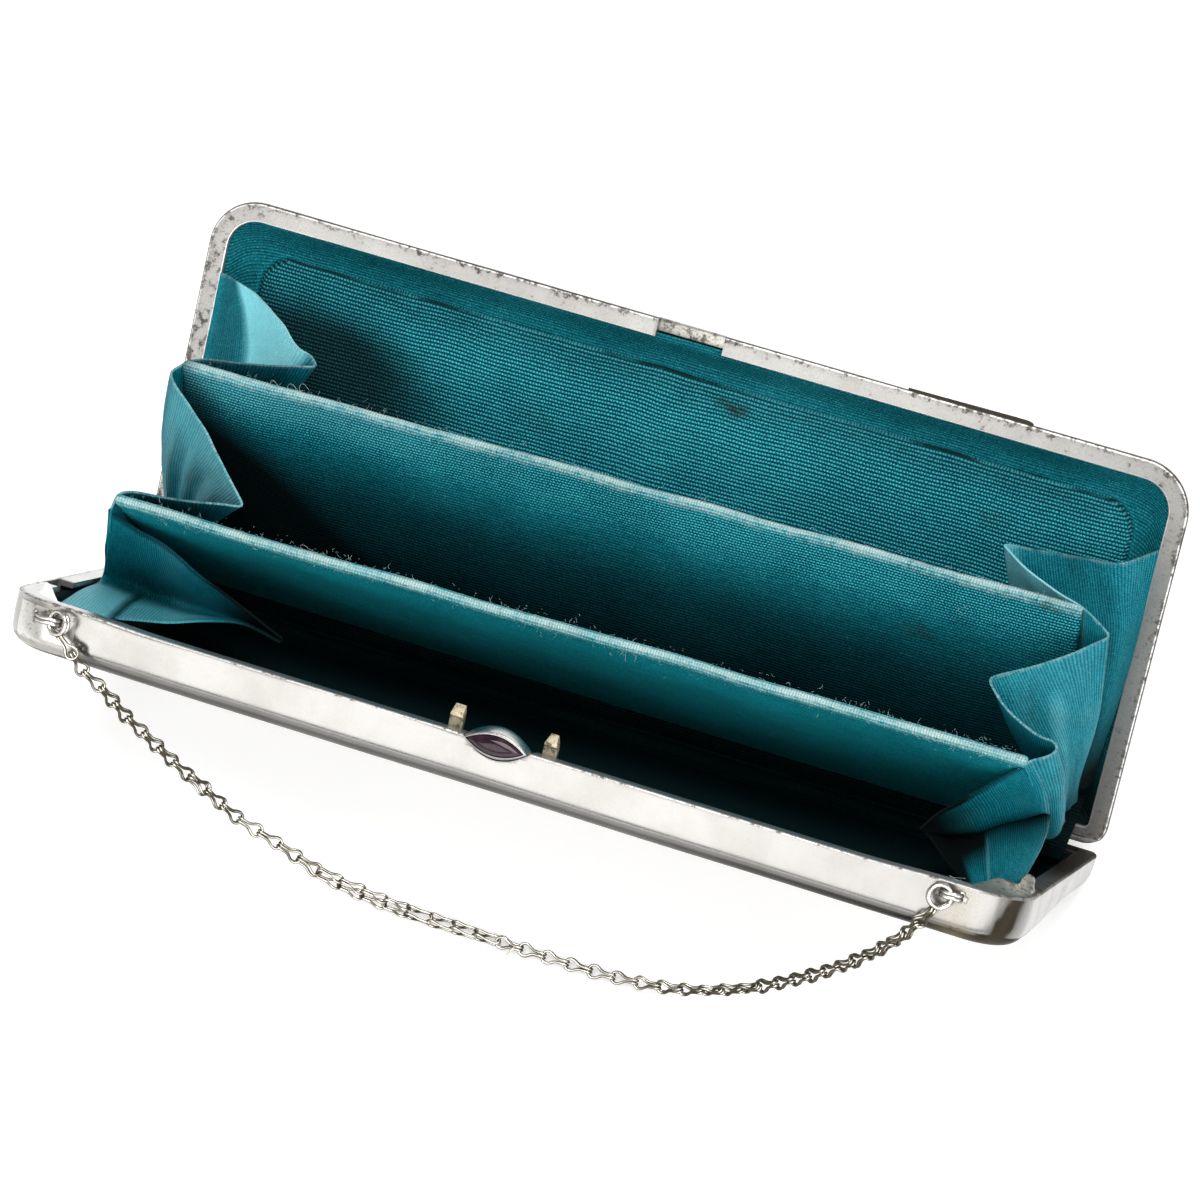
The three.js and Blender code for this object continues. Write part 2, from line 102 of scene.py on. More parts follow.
def spline(points, n=None, at=None, closed=False):
    """Centripetal Catmull-Rom through points, at n even parameters or at chosen ones from 0 to 1."""
    p = np.asarray(points, float)
    if closed:
        p = np.concatenate([p[-1:], p, p[:2]])
    else:
        p = np.concatenate([2 * p[:1] - p[1:2], p, 2 * p[-1:] - p[-2:-1]])
    step = np.maximum(np.linalg.norm(np.diff(p, axis=0), axis=1), 1e-9) ** 0.5
    knots = np.concatenate([[0], np.cumsum(step)])
    lo, hi = knots[1], knots[-2]
    t = np.linspace(0, 1, n, endpoint=not closed) if at is None else np.asarray(at, float)
    t = lo + t * (hi - lo)
    k = np.clip(np.searchsorted(knots, t, side="right") - 1, 1, len(p) - 3)
    t0, t1, t2, t3 = (knots[k + d][:, None] for d in (-1, 0, 1, 2))
    p0, p1, p2, p3 = (p[k + d] for d in (-1, 0, 1, 2))
    t = t[:, None]
    a1 = (t1 - t) / (t1 - t0) * p0 + (t - t0) / (t1 - t0) * p1
    a2 = (t2 - t) / (t2 - t1) * p1 + (t - t1) / (t2 - t1) * p2
    a3 = (t3 - t) / (t3 - t2) * p2 + (t - t2) / (t3 - t2) * p3
    b1 = (t2 - t) / (t2 - t0) * a1 + (t - t0) / (t2 - t0) * a2
    b2 = (t3 - t) / (t3 - t1) * a2 + (t - t1) / (t3 - t1) * a3
    return (t2 - t) / (t2 - t1) * b1 + (t - t1) / (t2 - t1) * b2


def knots_of(points):
    """Where spline() passes its own points, from 0 to 1."""
    step = np.maximum(np.linalg.norm(np.diff(points, axis=0), axis=1), 1e-9) ** 0.5
    k = np.concatenate([[0], np.cumsum(step)])
    return k / k[-1]


def grid_faces(rows, cols, wrap_cols=False, wrap_rows=False, start=0):
    r = np.arange(rows if wrap_rows else rows - 1)
    c = np.arange(cols if wrap_cols else cols - 1)
    i, j = np.meshgrid(r, c, indexing="ij")
    i2, j2 = (i + 1) % rows, (j + 1) % cols
    quads = np.stack([i * cols + j, i * cols + j2, i2 * cols + j2, i2 * cols + j], -1).reshape(-1, 4)
    return (quads + start).tolist()


class Build:
    """Vertices in mm with named values for each vertex, joined into one mesh."""

    def __init__(self):
        self.verts, self.faces, self.values, self.count = [], [], {}, 0

    def add(self, verts, faces, **values):
        verts = np.asarray(verts, float).reshape(-1, 3)
        n = len(verts)
        for key in set(self.values) | set(values):
            have = self.values.setdefault(key, [])
            missing = self.count - sum(len(h) for h in have)
            width = np.asarray(values[key]).shape[-1] if key in values and np.ndim(values[key]) and np.shape(values[key])[-1] in (2, 4) and (np.ndim(values[key]) > 1 or np.shape(values[key])[0] in (2, 4)) else (have[0].shape[1] if have and have[0].ndim > 1 else 1)
            shape = (lambda m: (m,) if width == 1 else (m, width))
            if missing > 0:
                have.append(np.zeros(shape(missing)))
            have.append(np.broadcast_to(np.asarray(values.get(key, 0.0), float), shape(n)).copy())
        self.verts.append(verts)
        self.faces.extend([[int(v) + self.count for v in f] for f in faces])
        self.count += n
        return self

    def object(self, name, material, sharp=38, normals=True):
        mesh = bpy.data.meshes.new(name)
        mesh.from_pydata((np.concatenate(self.verts) * MM).tolist(), [], self.faces)
        for key, parts in self.values.items():
            data = np.concatenate(parts)
            if data.ndim == 2 and data.shape[1] == 2:
                layer = mesh.uv_layers.new(name=key)
                index = np.empty(len(mesh.loops), int)
                mesh.loops.foreach_get("vertex_index", index)
                layer.uv.foreach_set("vector", data[index].ravel())
            elif data.ndim == 2:
                mesh.attributes.new(key, "FLOAT_COLOR", "POINT").data.foreach_set("color", data.ravel())
            else:
                mesh.attributes.new(key, "FLOAT", "POINT").data.foreach_set("value", data)
        if normals:
            bm = bmesh.new()
            bm.from_mesh(mesh)
            bmesh.ops.recalc_face_normals(bm, faces=bm.faces)
            bm.to_mesh(mesh)
            bm.free()
        mesh.materials.append(material)
        finish_shading(mesh, sharp)
        ob = bpy.data.objects.new(name, mesh)
        bpy.context.scene.collection.objects.link(ob)
        return ob


def finish_shading(mesh, sharp):
    mesh.shade_smooth()
    mesh.set_sharp_from_angle(angle=math.radians(sharp))


def applied(ob, sharp=38):
    """The object with its modifiers made real."""
    bpy.context.view_layer.update()
    done = bpy.data.meshes.new_from_object(ob.evaluated_get(bpy.context.evaluated_depsgraph_get()))
    old = ob.data
    ob.modifiers.clear()
    ob.data = done
    done.name = old.name + "_made"
    finish_shading(done, sharp)
    return ob


def cut(ob, cutters, sharp=38):
    for cutter in cutters:
        m = ob.modifiers.new("cut", "BOOLEAN")
        m.operation, m.solver, m.object = "DIFFERENCE", "EXACT", cutter
    applied(ob, sharp)
    for cutter in cutters:
        bpy.data.objects.remove(cutter)
    return ob


def thicken(ob, thickness, offset=0.0, sharp=50):
    m = ob.modifiers.new("thick", "SOLIDIFY")
    m.thickness, m.offset = thickness * MM, offset
    return applied(ob, sharp)


def join(target, others):
    for o in others:
        own = o.data.materials[0]
        if target.data.materials.find(own.name) < 0:
            target.data.materials.append(own)
        o.data.polygons.foreach_set("material_index", [target.data.materials.find(own.name)] * len(o.data.polygons))
        bm = bmesh.new()
        bm.from_mesh(target.data)
        bm.from_mesh(o.data)
        bm.to_mesh(target.data)
        bm.free()
        bpy.data.objects.remove(o)
    return target


def box_cutter(place, x0, x1, y0, y1, z0, z1):
    p = np.array([[x, y, z] for z in (z0, z1) for y in (y0, y1) for x in (x0, x1)])
    f = [[0, 2, 3, 1], [4, 5, 7, 6], [0, 1, 5, 4], [2, 6, 7, 3], [0, 4, 6, 2], [1, 3, 7, 5]]
    return Build().add(place(p), f).object("cutter", None)


def frames(path, closed):
    """Tangents and a side direction carried along a path without twist."""
    p = np.asarray(path, float)
    if closed:
        tan = np.roll(p, -1, 0) - np.roll(p, 1, 0)
    else:
        tan = np.gradient(p, axis=0)
    tan /= np.maximum(np.linalg.norm(tan, axis=1, keepdims=True), 1e-12)
    side = np.cross(tan[0], [0.12, 0.31, 0.94])
    side /= np.linalg.norm(side)
    sides = [side]
    for k in range(1, len(p)):
        side = sides[-1] - tan[k] * np.dot(sides[-1], tan[k])
        sides.append(side / np.linalg.norm(side))
    return tan, np.array(sides)


def tube(path, radius, sides=8, closed=False):
    p = np.asarray(path, float)
    n = len(p)
    tan, a = frames(p, closed)
    if closed:
        # turn the section a little at every step so that the ends meet
        end = a[-1] - tan[0] * np.dot(a[-1], tan[0])
        end /= np.linalg.norm(end)
        off = math.atan2(np.dot(np.cross(end, a[0]), tan[0]), np.dot(end, a[0]))
    else:
        off = 0.0
    b = np.cross(tan, a)
    rad = np.broadcast_to(np.asarray(radius, float), (n,))
    ang = 2 * math.pi * np.arange(sides) / sides
    turn = off * np.arange(n) / max(n - 1, 1)
    w = ang[None, :] + turn[:, None]
    verts = p[:, None] + rad[:, None, None] * (np.cos(w)[..., None] * a[:, None] + np.sin(w)[..., None] * b[:, None])
    faces = grid_faces(n, sides, wrap_cols=True, wrap_rows=closed)
    if not closed:
        faces += [list(range(sides))[::-1], [(n - 1) * sides + k for k in range(sides)]]
    return verts.reshape(-1, 3), faces


# directions that the painted highlight on the wires faces, up and to the front
WIRE_HIGHLIGHT_TOWARD, WIRE_HIGHLIGHT_TOWARD_BASE = np.array([0.2, -0.5, 0.843]), np.array([0.2, -0.963, 0.183])


def painted_wire_highlight(v, path, toward=WIRE_HIGHLIGHT_TOWARD, bright=0.0):
    """Painted highlight and shade on a wire: bright along its upper front side and dark round the rest."""
    off = v.reshape(len(path), -1, 3) - path[:, None]
    face = (off / np.linalg.norm(off, axis=2, keepdims=True)) @ toward
    dark = 0.96 * (1 - smoothstep(0.79 - bright, 0.95 - bright, face.ravel()))
    return np.stack([np.full(len(v), 0.3), dark, 0.05 + 0.05 * dark, np.full(len(v), 1 - 3 * bright)], 1)


def wobble(p, scale, seed):
    """A smooth made-up field of waves over points, about -1 to 1."""
    r = np.random.default_rng(seed)
    p = np.asarray(p, float)
    out = np.zeros(p.shape[:-1])
    for _ in range(7):
        d = r.normal(size=p.shape[-1])
        d *= (0.6 + r.random()) / (np.linalg.norm(d) * scale)
        out += np.sin(2 * math.pi * (p @ d) + r.random() * 6.3)
    return out / 3.2


# ---- materials ----------------------------------------------------------------
class Nodes:
    """Short names for building a node tree."""

    def __init__(self, name):
        self.material = bpy.data.materials.new(name)
        self.material.use_nodes = True
        self.tree = self.material.node_tree
        self.shader = self.tree.nodes["Principled BSDF"]

    def node(self, kind, **settings):
        n = self.tree.nodes.new(kind)
        for key, value in settings.items():
            setattr(n, key, value)
        return n

    def link(self, a, b):
        self.tree.links.new(a, b)

    def put(self, socket, value):
        if isinstance(value, bpy.types.NodeSocket):
            self.link(value, socket)
        else:
            socket.default_value = value

    def math(self, op, a, b=None, c=None, clamp=False):
        n = self.node("ShaderNodeMath", operation=op, use_clamp=clamp)
        for s, v in zip(n.inputs, (a, b, c)):
            if v is not None:
                self.put(s, v)
        return n.outputs[0]

    def mix(self, factor, a, b, blend="MIX"):
        n = self.node("ShaderNodeMix", data_type="RGBA", blend_type=blend)
        self.put(n.inputs[0], factor)
        for s, v in ((n.inputs[6], a), (n.inputs[7], b)):
            self.put(s, (*v, 1) if isinstance(v, tuple) and len(v) == 3 else v)
        return n.outputs[2]

    def ramp(self, value, low, high, to_low=0.0, to_high=1.0, smooth=True):
        n = self.node("ShaderNodeMapRange", interpolation_type="SMOOTHSTEP" if smooth else "LINEAR")
        self.put(n.inputs[0], value)
        for s, v in zip(n.inputs[1:5], (low, high, to_low, to_high)):
            self.put(s, v)
        return n.outputs[0]

    def attribute(self, name):
        return self.node("ShaderNodeAttribute", attribute_name=name)

    def noise(self, vector, scale, detail=3.0, rough=0.5, distortion=0.0):
        n = self.node("ShaderNodeTexNoise")
        self.put(n.inputs["Vector"], vector)
        n.inputs["Scale"].default_value = scale
        n.inputs["Detail"].default_value = detail
        n.inputs["Roughness"].default_value = rough
        n.inputs["Distortion"].default_value = distortion
        return n.outputs["Fac"]

    def scaled(self, vector, x, y, z):
        n = self.node("ShaderNodeVectorMath", operation="MULTIPLY")
        self.link(vector, n.inputs[0])
        n.inputs[1].default_value = (x, y, z)
        return n.outputs[0]

    def bump(self, height, distance, strength=1.0, normal=None):
        n = self.node("ShaderNodeBump")
        n.inputs["Strength"].default_value = strength
        n.inputs["Distance"].default_value = distance
        self.link(height, n.inputs["Height"])
        if normal is not None:
            self.link(normal, n.inputs["Normal"])
        return n.outputs[0]

    def object_coords(self):
        return self.node("ShaderNodeTexCoord").outputs["Object"]


RIB = 0.62  # mm from one silk rib to the next
THREAD = 0.52  # mm from one cross thread to the next


def silk_material(name, deep, mid, light, rib_pitch=RIB, thread_pitch=THREAD, contrast=1.0):
    """Ribbed silk: ribs run along the first cloth coordinate, both in mm."""
    s = Nodes(name)
    uv = s.node("ShaderNodeUVMap", uv_map="cloth").outputs[0]
    xyz = s.object_coords()
    parts = s.node("ShaderNodeSeparateXYZ")
    s.link(uv, parts.inputs[0])
    u, v = parts.outputs[0], parts.outputs[1]
    waver = s.math("MULTIPLY", s.math("SUBTRACT", s.noise(xyz, 60, 2, 0.5), 0.5), 1.1)
    ribs = s.math("MULTIPLY", s.math("ADD", v, waver), 1 / rib_pitch)
    row = s.math("FLOOR", ribs)
    rib = s.math("MULTIPLY_ADD", s.math("SINE", s.math("MULTIPLY", ribs, 2 * math.pi)), 0.5, 0.5)
    jitter = s.math("MULTIPLY", s.noise(s.scaled(uv, 0.8, 1.6, 1), 1.0, 2, 0.5), 1.6)
    shifted = s.math("ADD", jitter, s.math("MULTIPLY_ADD", row, 0.5, s.math("MULTIPLY", u, 1 / thread_pitch)))
    thread = s.math("MULTIPLY_ADD", s.math("SINE", s.math("MULTIPLY", shifted, 2 * math.pi)), 0.5, 0.5)
    slub = s.noise(s.scaled(uv, 0.22, 1.9, 1), 1.0, 3, 0.6)
    fine = s.noise(xyz, 2300, 2, 0.6)
    bead = s.math("MULTIPLY", s.math("POWER", rib, 0.8), s.math("MULTIPLY_ADD", thread, 0.62, 0.38))
    height = s.math("MULTIPLY_ADD", fine, 0.4, bead)
    wear = s.attribute("wear").outputs["Fac"]
    stain = s.attribute("stain").outputs["Fac"]
    soil = s.attribute("soil").outputs["Fac"]
    pale = s.attribute("pale").outputs["Fac"]
    nap = s.attribute("nap").outputs["Fac"]
    patch = s.noise(xyz, 48, 4, 0.62)
    broad = s.noise(xyz, 15, 2, 0.5)
    tone = s.math("MULTIPLY_ADD", s.math("SUBTRACT", slub, 0.5), 0.42, 0.42)
    tone = s.math("MULTIPLY_ADD", s.math("SUBTRACT", patch, 0.5), 0.42, tone)
    tone = s.math("MULTIPLY_ADD", s.math("SUBTRACT", broad, 0.5), 0.35, tone)
    tone = s.math("MULTIPLY_ADD", s.math("SUBTRACT", fine, 0.5), 0.7, tone)
    strength = s.math("MULTIPLY_ADD", nap, -0.75 * contrast, 0.95 * contrast)
    tone = s.math("MULTIPLY_ADD", s.math("SUBTRACT", bead, 0.4), strength, tone, clamp=True)
    col = s.mix(s.ramp(tone, 0.0, 0.5), deep, mid)
    col = s.mix(s.ramp(tone, 0.42, 1.0), col, light)
    # painted light: lit leaves and ridges of the silk are mixed towards a pale teal
    col = s.mix(s.math("MULTIPLY", pale, s.math("MULTIPLY_ADD", tone, 0.4, 0.55), clamp=True), col, (0.30, 0.84, 0.93))
    # worn edges: the coloured ribs have rubbed off the pale cross threads
    tick = s.math("MULTIPLY_ADD", s.math("SINE", s.math("MULTIPLY", s.math("ADD", u, s.math("MULTIPLY", jitter, 0.25)), 2 * math.pi / 0.44)), 0.5, 0.5)
    rub = s.noise(xyz, 900, 4, 0.72)
    worn = s.math("MULTIPLY", wear, s.ramp(s.math("MULTIPLY_ADD", wear, 0.5, rub), 0.5, 0.98))
    rubbed = s.mix(s.math("MULTIPLY", s.math("ADD", tick, fine), 0.62, clamp=True), (0.12, 0.30, 0.31), (0.58, 0.68, 0.65))
    col = s.mix(s.math("MULTIPLY", worn, 0.9), col, rubbed)
    spots = s.ramp(s.noise(xyz, 700, 3, 0.6), 0.38, 0.62)
    col = s.mix(s.math("MULTIPLY", stain, s.math("MULTIPLY_ADD", spots, 0.7, 0.3), clamp=True), col, (0.022, 0.028, 0.013))
    # painted shade: silk in shadow, in creases and deep in the pockets is mixed towards near-black, and its shine fades
    # with it
    col = s.mix(soil, col, (0.0042, 0.0062, 0.0062))
    p = s.shader
    s.link(col, p.inputs["Base Color"])
    s.link(s.math("MULTIPLY_ADD", s.math("SUBTRACT", 1.0, rib), 0.18, s.math("MULTIPLY_ADD", worn, 0.2, 0.48)), p.inputs["Roughness"])
    s.link(s.math("MULTIPLY_ADD", soil, -0.06, 0.07, clamp=True), p.inputs["Specular IOR Level"])
    s.link(s.math("MULTIPLY_ADD", soil, -0.01, 0.01, clamp=True), p.inputs["Sheen Weight"])
    p.inputs["Sheen Roughness"].default_value = 0.38
    p.inputs["Sheen Tint"].default_value = (0.55, 0.9, 0.95, 1)
    s.link(s.bump(height, 0.00016, 0.8 * min(contrast, 1.0)), p.inputs["Normal"])
    return s.material


def silver_material(name, colour=(0.40, 0.392, 0.378), rough=0.2, tarnish=1.0, scratch=1.0):
    """Worn silver. A colour on the mesh holds speckled tarnish, smooth darkening, warm solder and dullness; on the
    front half part of the darkening is painted shade and painted reflection, and on wires it paints a highlight.
    """
    s = Nodes(name)
    xyz = s.object_coords()
    finish = s.node("ShaderNodeSeparateColor")
    held = s.attribute("finish")
    s.link(held.outputs["Color"], finish.inputs[0])
    shine = s.math("SUBTRACT", 1.0, held.outputs["Alpha"], clamp=True)
    speck, dark, warm = finish.outputs
    fine = s.noise(xyz, 3600, 3, 0.7)
    blot = s.noise(xyz, 820, 5, 0.7)
    cloud = s.noise(xyz, 110, 3, 0.55)
    grain = s.math("MULTIPLY", s.ramp(fine, 0.44, 0.66), s.math("MULTIPLY_ADD", s.ramp(blot, 0.32, 0.68), 0.7, 0.3))
    grain = s.math("MULTIPLY", s.math("MULTIPLY", grain, speck), 0.62 * tarnish, clamp=True)
    spots = s.ramp(s.math("MULTIPLY_ADD", speck, 0.26, s.math("MULTIPLY_ADD", cloud, 0.3, blot)), 0.88, 1.02)
    spots = s.math("MULTIPLY", s.math("MULTIPLY", spots, s.ramp(speck, 0.05, 0.6)), 0.8 * tarnish, clamp=True)
    haze = s.ramp(cloud, 0.35, 0.72)
    col = s.mix(s.math("MULTIPLY", haze, 0.3), colour, tuple(c * f for c, f in zip(colour, (0.8, 0.77, 0.72))))
    col = s.mix(shine, col, (0.90, 0.89, 0.87))
    # the dark channel: tarnish, and in places painted shade and painted reflection
    col = s.mix(s.math("MULTIPLY", dark, s.math("MULTIPLY_ADD", cloud, 0.3, 0.8), clamp=True), col, (0.062, 0.060, 0.056))
    col = s.mix(s.ramp(dark, 0.78, 1.0), col, (0.017, 0.0145, 0.0125))
    col = s.mix(s.math("MULTIPLY", warm, 0.85), col, (0.58, 0.48, 0.27))
    col = s.mix(grain, col, (0.075, 0.062, 0.05))
    col = s.mix(spots, col, (0.05, 0.04, 0.03))
    p = s.shader
    s.link(col, p.inputs["Base Color"])
    s.link(s.math("MULTIPLY_ADD", dark, -0.85, s.math("MULTIPLY_ADD", spots, -0.5, 1.0), clamp=True), p.inputs["Metallic"])
    s.link(s.math("MULTIPLY_ADD", dark, -0.19, 0.2, clamp=True), p.inputs["Specular IOR Level"])
    r = s.math("MULTIPLY_ADD", haze, 0.07, rough)
    r = s.math("MULTIPLY_ADD", speck, 0.16, r)
    r = s.math("MULTIPLY_ADD", spots, 0.25, r)
    s.link(r, p.inputs["Roughness"])
    lines = s.noise(s.scaled(xyz, 260, 2600, 2600), 1.0, 2, 0.5)
    lines2 = s.noise(s.scaled(xyz, 1900, 350, 350), 1.0, 2, 0.5)
    h = s.math("MULTIPLY_ADD", s.math("MULTIPLY", fine, speck), 0.6, s.math("ADD", lines, lines2))
    s.link(s.bump(h, 0.00001 * scratch, 0.3), p.inputs["Normal"])
    return s.material


SILK = silk_material("ribbed_silk", (0.0003, 0.038, 0.054), (0.002, 0.200, 0.252), (0.085, 0.56, 0.64), contrast=1.3)
# a lighter copy of the silk for the front panel, standing in for more light on it: painted light
SILK_FRONT_PAINTED_LIGHTER = silk_material("front_panel_silk_painted_lighter", (0.0006, 0.075, 0.098), (0.002, 0.270, 0.330), (0.04, 0.60, 0.68), contrast=1.0)
SILK_GUSSET = silk_material("gusset_silk", (0.0004, 0.06, 0.082), (0.002, 0.185, 0.24), (0.04, 0.42, 0.50), 0.46, 0.42, 0.58)
SILVER = silver_material("old_silver")
CHAIN_SILVER = silver_material("chain_silver", (0.88, 0.85, 0.745), 0.16, 0.9, 0.6)
GILT = silver_material("worn_gilt", (0.92, 0.83, 0.58), 0.5)


def stone_material():
    s = Nodes("amethyst")
    xyz = s.object_coords()
    veil = s.ramp(s.noise(xyz, 420, 4, 0.6, 0.8), 0.3, 0.75)
    s.link(s.mix(veil, (0.014, 0.005, 0.010), (0.046, 0.021, 0.033)), s.shader.inputs["Base Color"])
    p = s.shader
    s.link(s.math("MULTIPLY_ADD", veil, 0.08, 0.05), p.inputs["Roughness"])
    p.inputs["IOR"].default_value = 1.55
    p.inputs["Specular IOR Level"].default_value = 0.3
    return s.material


STONE = stone_material()


def lint_material():
    s = Nodes("lint")
    n = s.noise(s.object_coords(), 300, 2, 0.5)
    s.link(s.mix(n, (0.22, 0.40, 0.41), (0.62, 0.68, 0.66)), s.shader.inputs["Base Color"])
    s.shader.inputs["Roughness"].default_value = 0.9
    return s.material


LINT = lint_material()


# ---- the silver halves --------------------------------------------------------
CORNER_STEPS, LONG_STEPS, SHORT_STEPS = 14, 100, 36


def outline(inset, side, r_open=None, r_hinge=None):
    half, near, far = LENGTH / 2 - inset, inset, REACH - inset
    rf = max(CORNER_OPEN - inset, 0.8) if r_open is None else r_open
    rn = max(CORNER_HINGE - inset, 0.8) if r_hinge is None else r_hinge
    corners = [(half - rn, near + rn, rn, -90), (half - rf, far - rf, rf, 0), (rf - half, far - rf, rf, 90), (rn - half, near + rn, rn, 180)]
    steps = (SHORT_STEPS, LONG_STEPS, SHORT_STEPS, LONG_STEPS)
    parts = []
    for k, (cx, cy, r, start) in enumerate(corners):
        a = np.radians(start + np.linspace(0, 90, CORNER_STEPS))
        arc = np.stack([cx + r * np.cos(a), cy + r * np.sin(a)], 1)
        nx, ny, nr, na = corners[(k + 1) % 4]
        to = np.array([nx + nr * math.cos(math.radians(na)), ny + nr * math.sin(math.radians(na))])
        t = np.linspace(0, 1, steps[k] + 1)[1:-1, None]
        parts += [arc, arc[-1] * (1 - t) + to * t]
    p = np.concatenate(parts)
    p[:, 1] *= side
    return p


def ring(depth, inset, side, **radii):
    p = outline(inset, side, **radii)
    return np.column_stack([p, np.full(len(p), -depth)])


INNER = [(6.2, 9.0), (6.2, 5.6), (6.05, 4.5), (5.75, 3.6), (5.3, 2.8), (4.7, 2.1), (4.0, 1.6), (2.4, 1.3), (1.05, 1.1), (0.9, 1.3), (0.9, 2.2), (0.9, 3.05), (0.82, 3.2)]
RIM = [(0.3, 3.2), (0.14, 3.17), (0.04, 3.09), (0.0, 2.98), (0.0, 2.9), (0.0, 2.5), (0.0, 2.0), (0.0, 1.4), (0.0, 1.0), (0.0, 0.7), (0.0, 0.5), (0.0, 0.42), (0.0, 0.36), (0.01, 0.26), (0.02, 0.22), (0.06, 0.13), (0.14, 0.06), (0.26, 0.02)]


def navette(a, c, y, lift=0.0, steps=26):
    t = np.arange(steps) / steps
    s = -np.cos(math.pi * t)
    up = np.stack([a * s, c * (1 - s * s)], 1)
    whole = np.concatenate([up, -up])
    return np.column_stack([CLASP_X - 0.2 + whole[:, 0], np.full(len(whole), y), BEZEL_Z + lift + whole[:, 1]])


def loft(rings, caps=True):
    n = len(rings[0])
    verts = np.concatenate(rings)
    faces = grid_faces(len(rings), n, wrap_cols=True)
    if caps:
        faces += [list(range(n))[::-1], [(len(rings) - 1) * n + k for k in range(n)]]
    return verts, faces


KNUCKLE = [
    (-HINGE_RUN / 2 + k * HINGE_RUN / KNUCKLES + GAP / 2, -HINGE_RUN / 2 + (k + 1) * HINGE_RUN / KNUCKLES - GAP / 2, k % 2 == 0)
    for k in range(KNUCKLES)
]


def rod_cutter(radius, x0, x1):
    a = 2 * math.pi * np.arange(28) / 28
    sec = np.column_stack([np.zeros(28), HINGE_Y + radius * np.cos(a), HINGE_Z + radius * np.sin(a)])
    return Build().add(*loft([sec + [x0, 0, 0], sec + [x1, 0, 0]])).object("cutter", None)


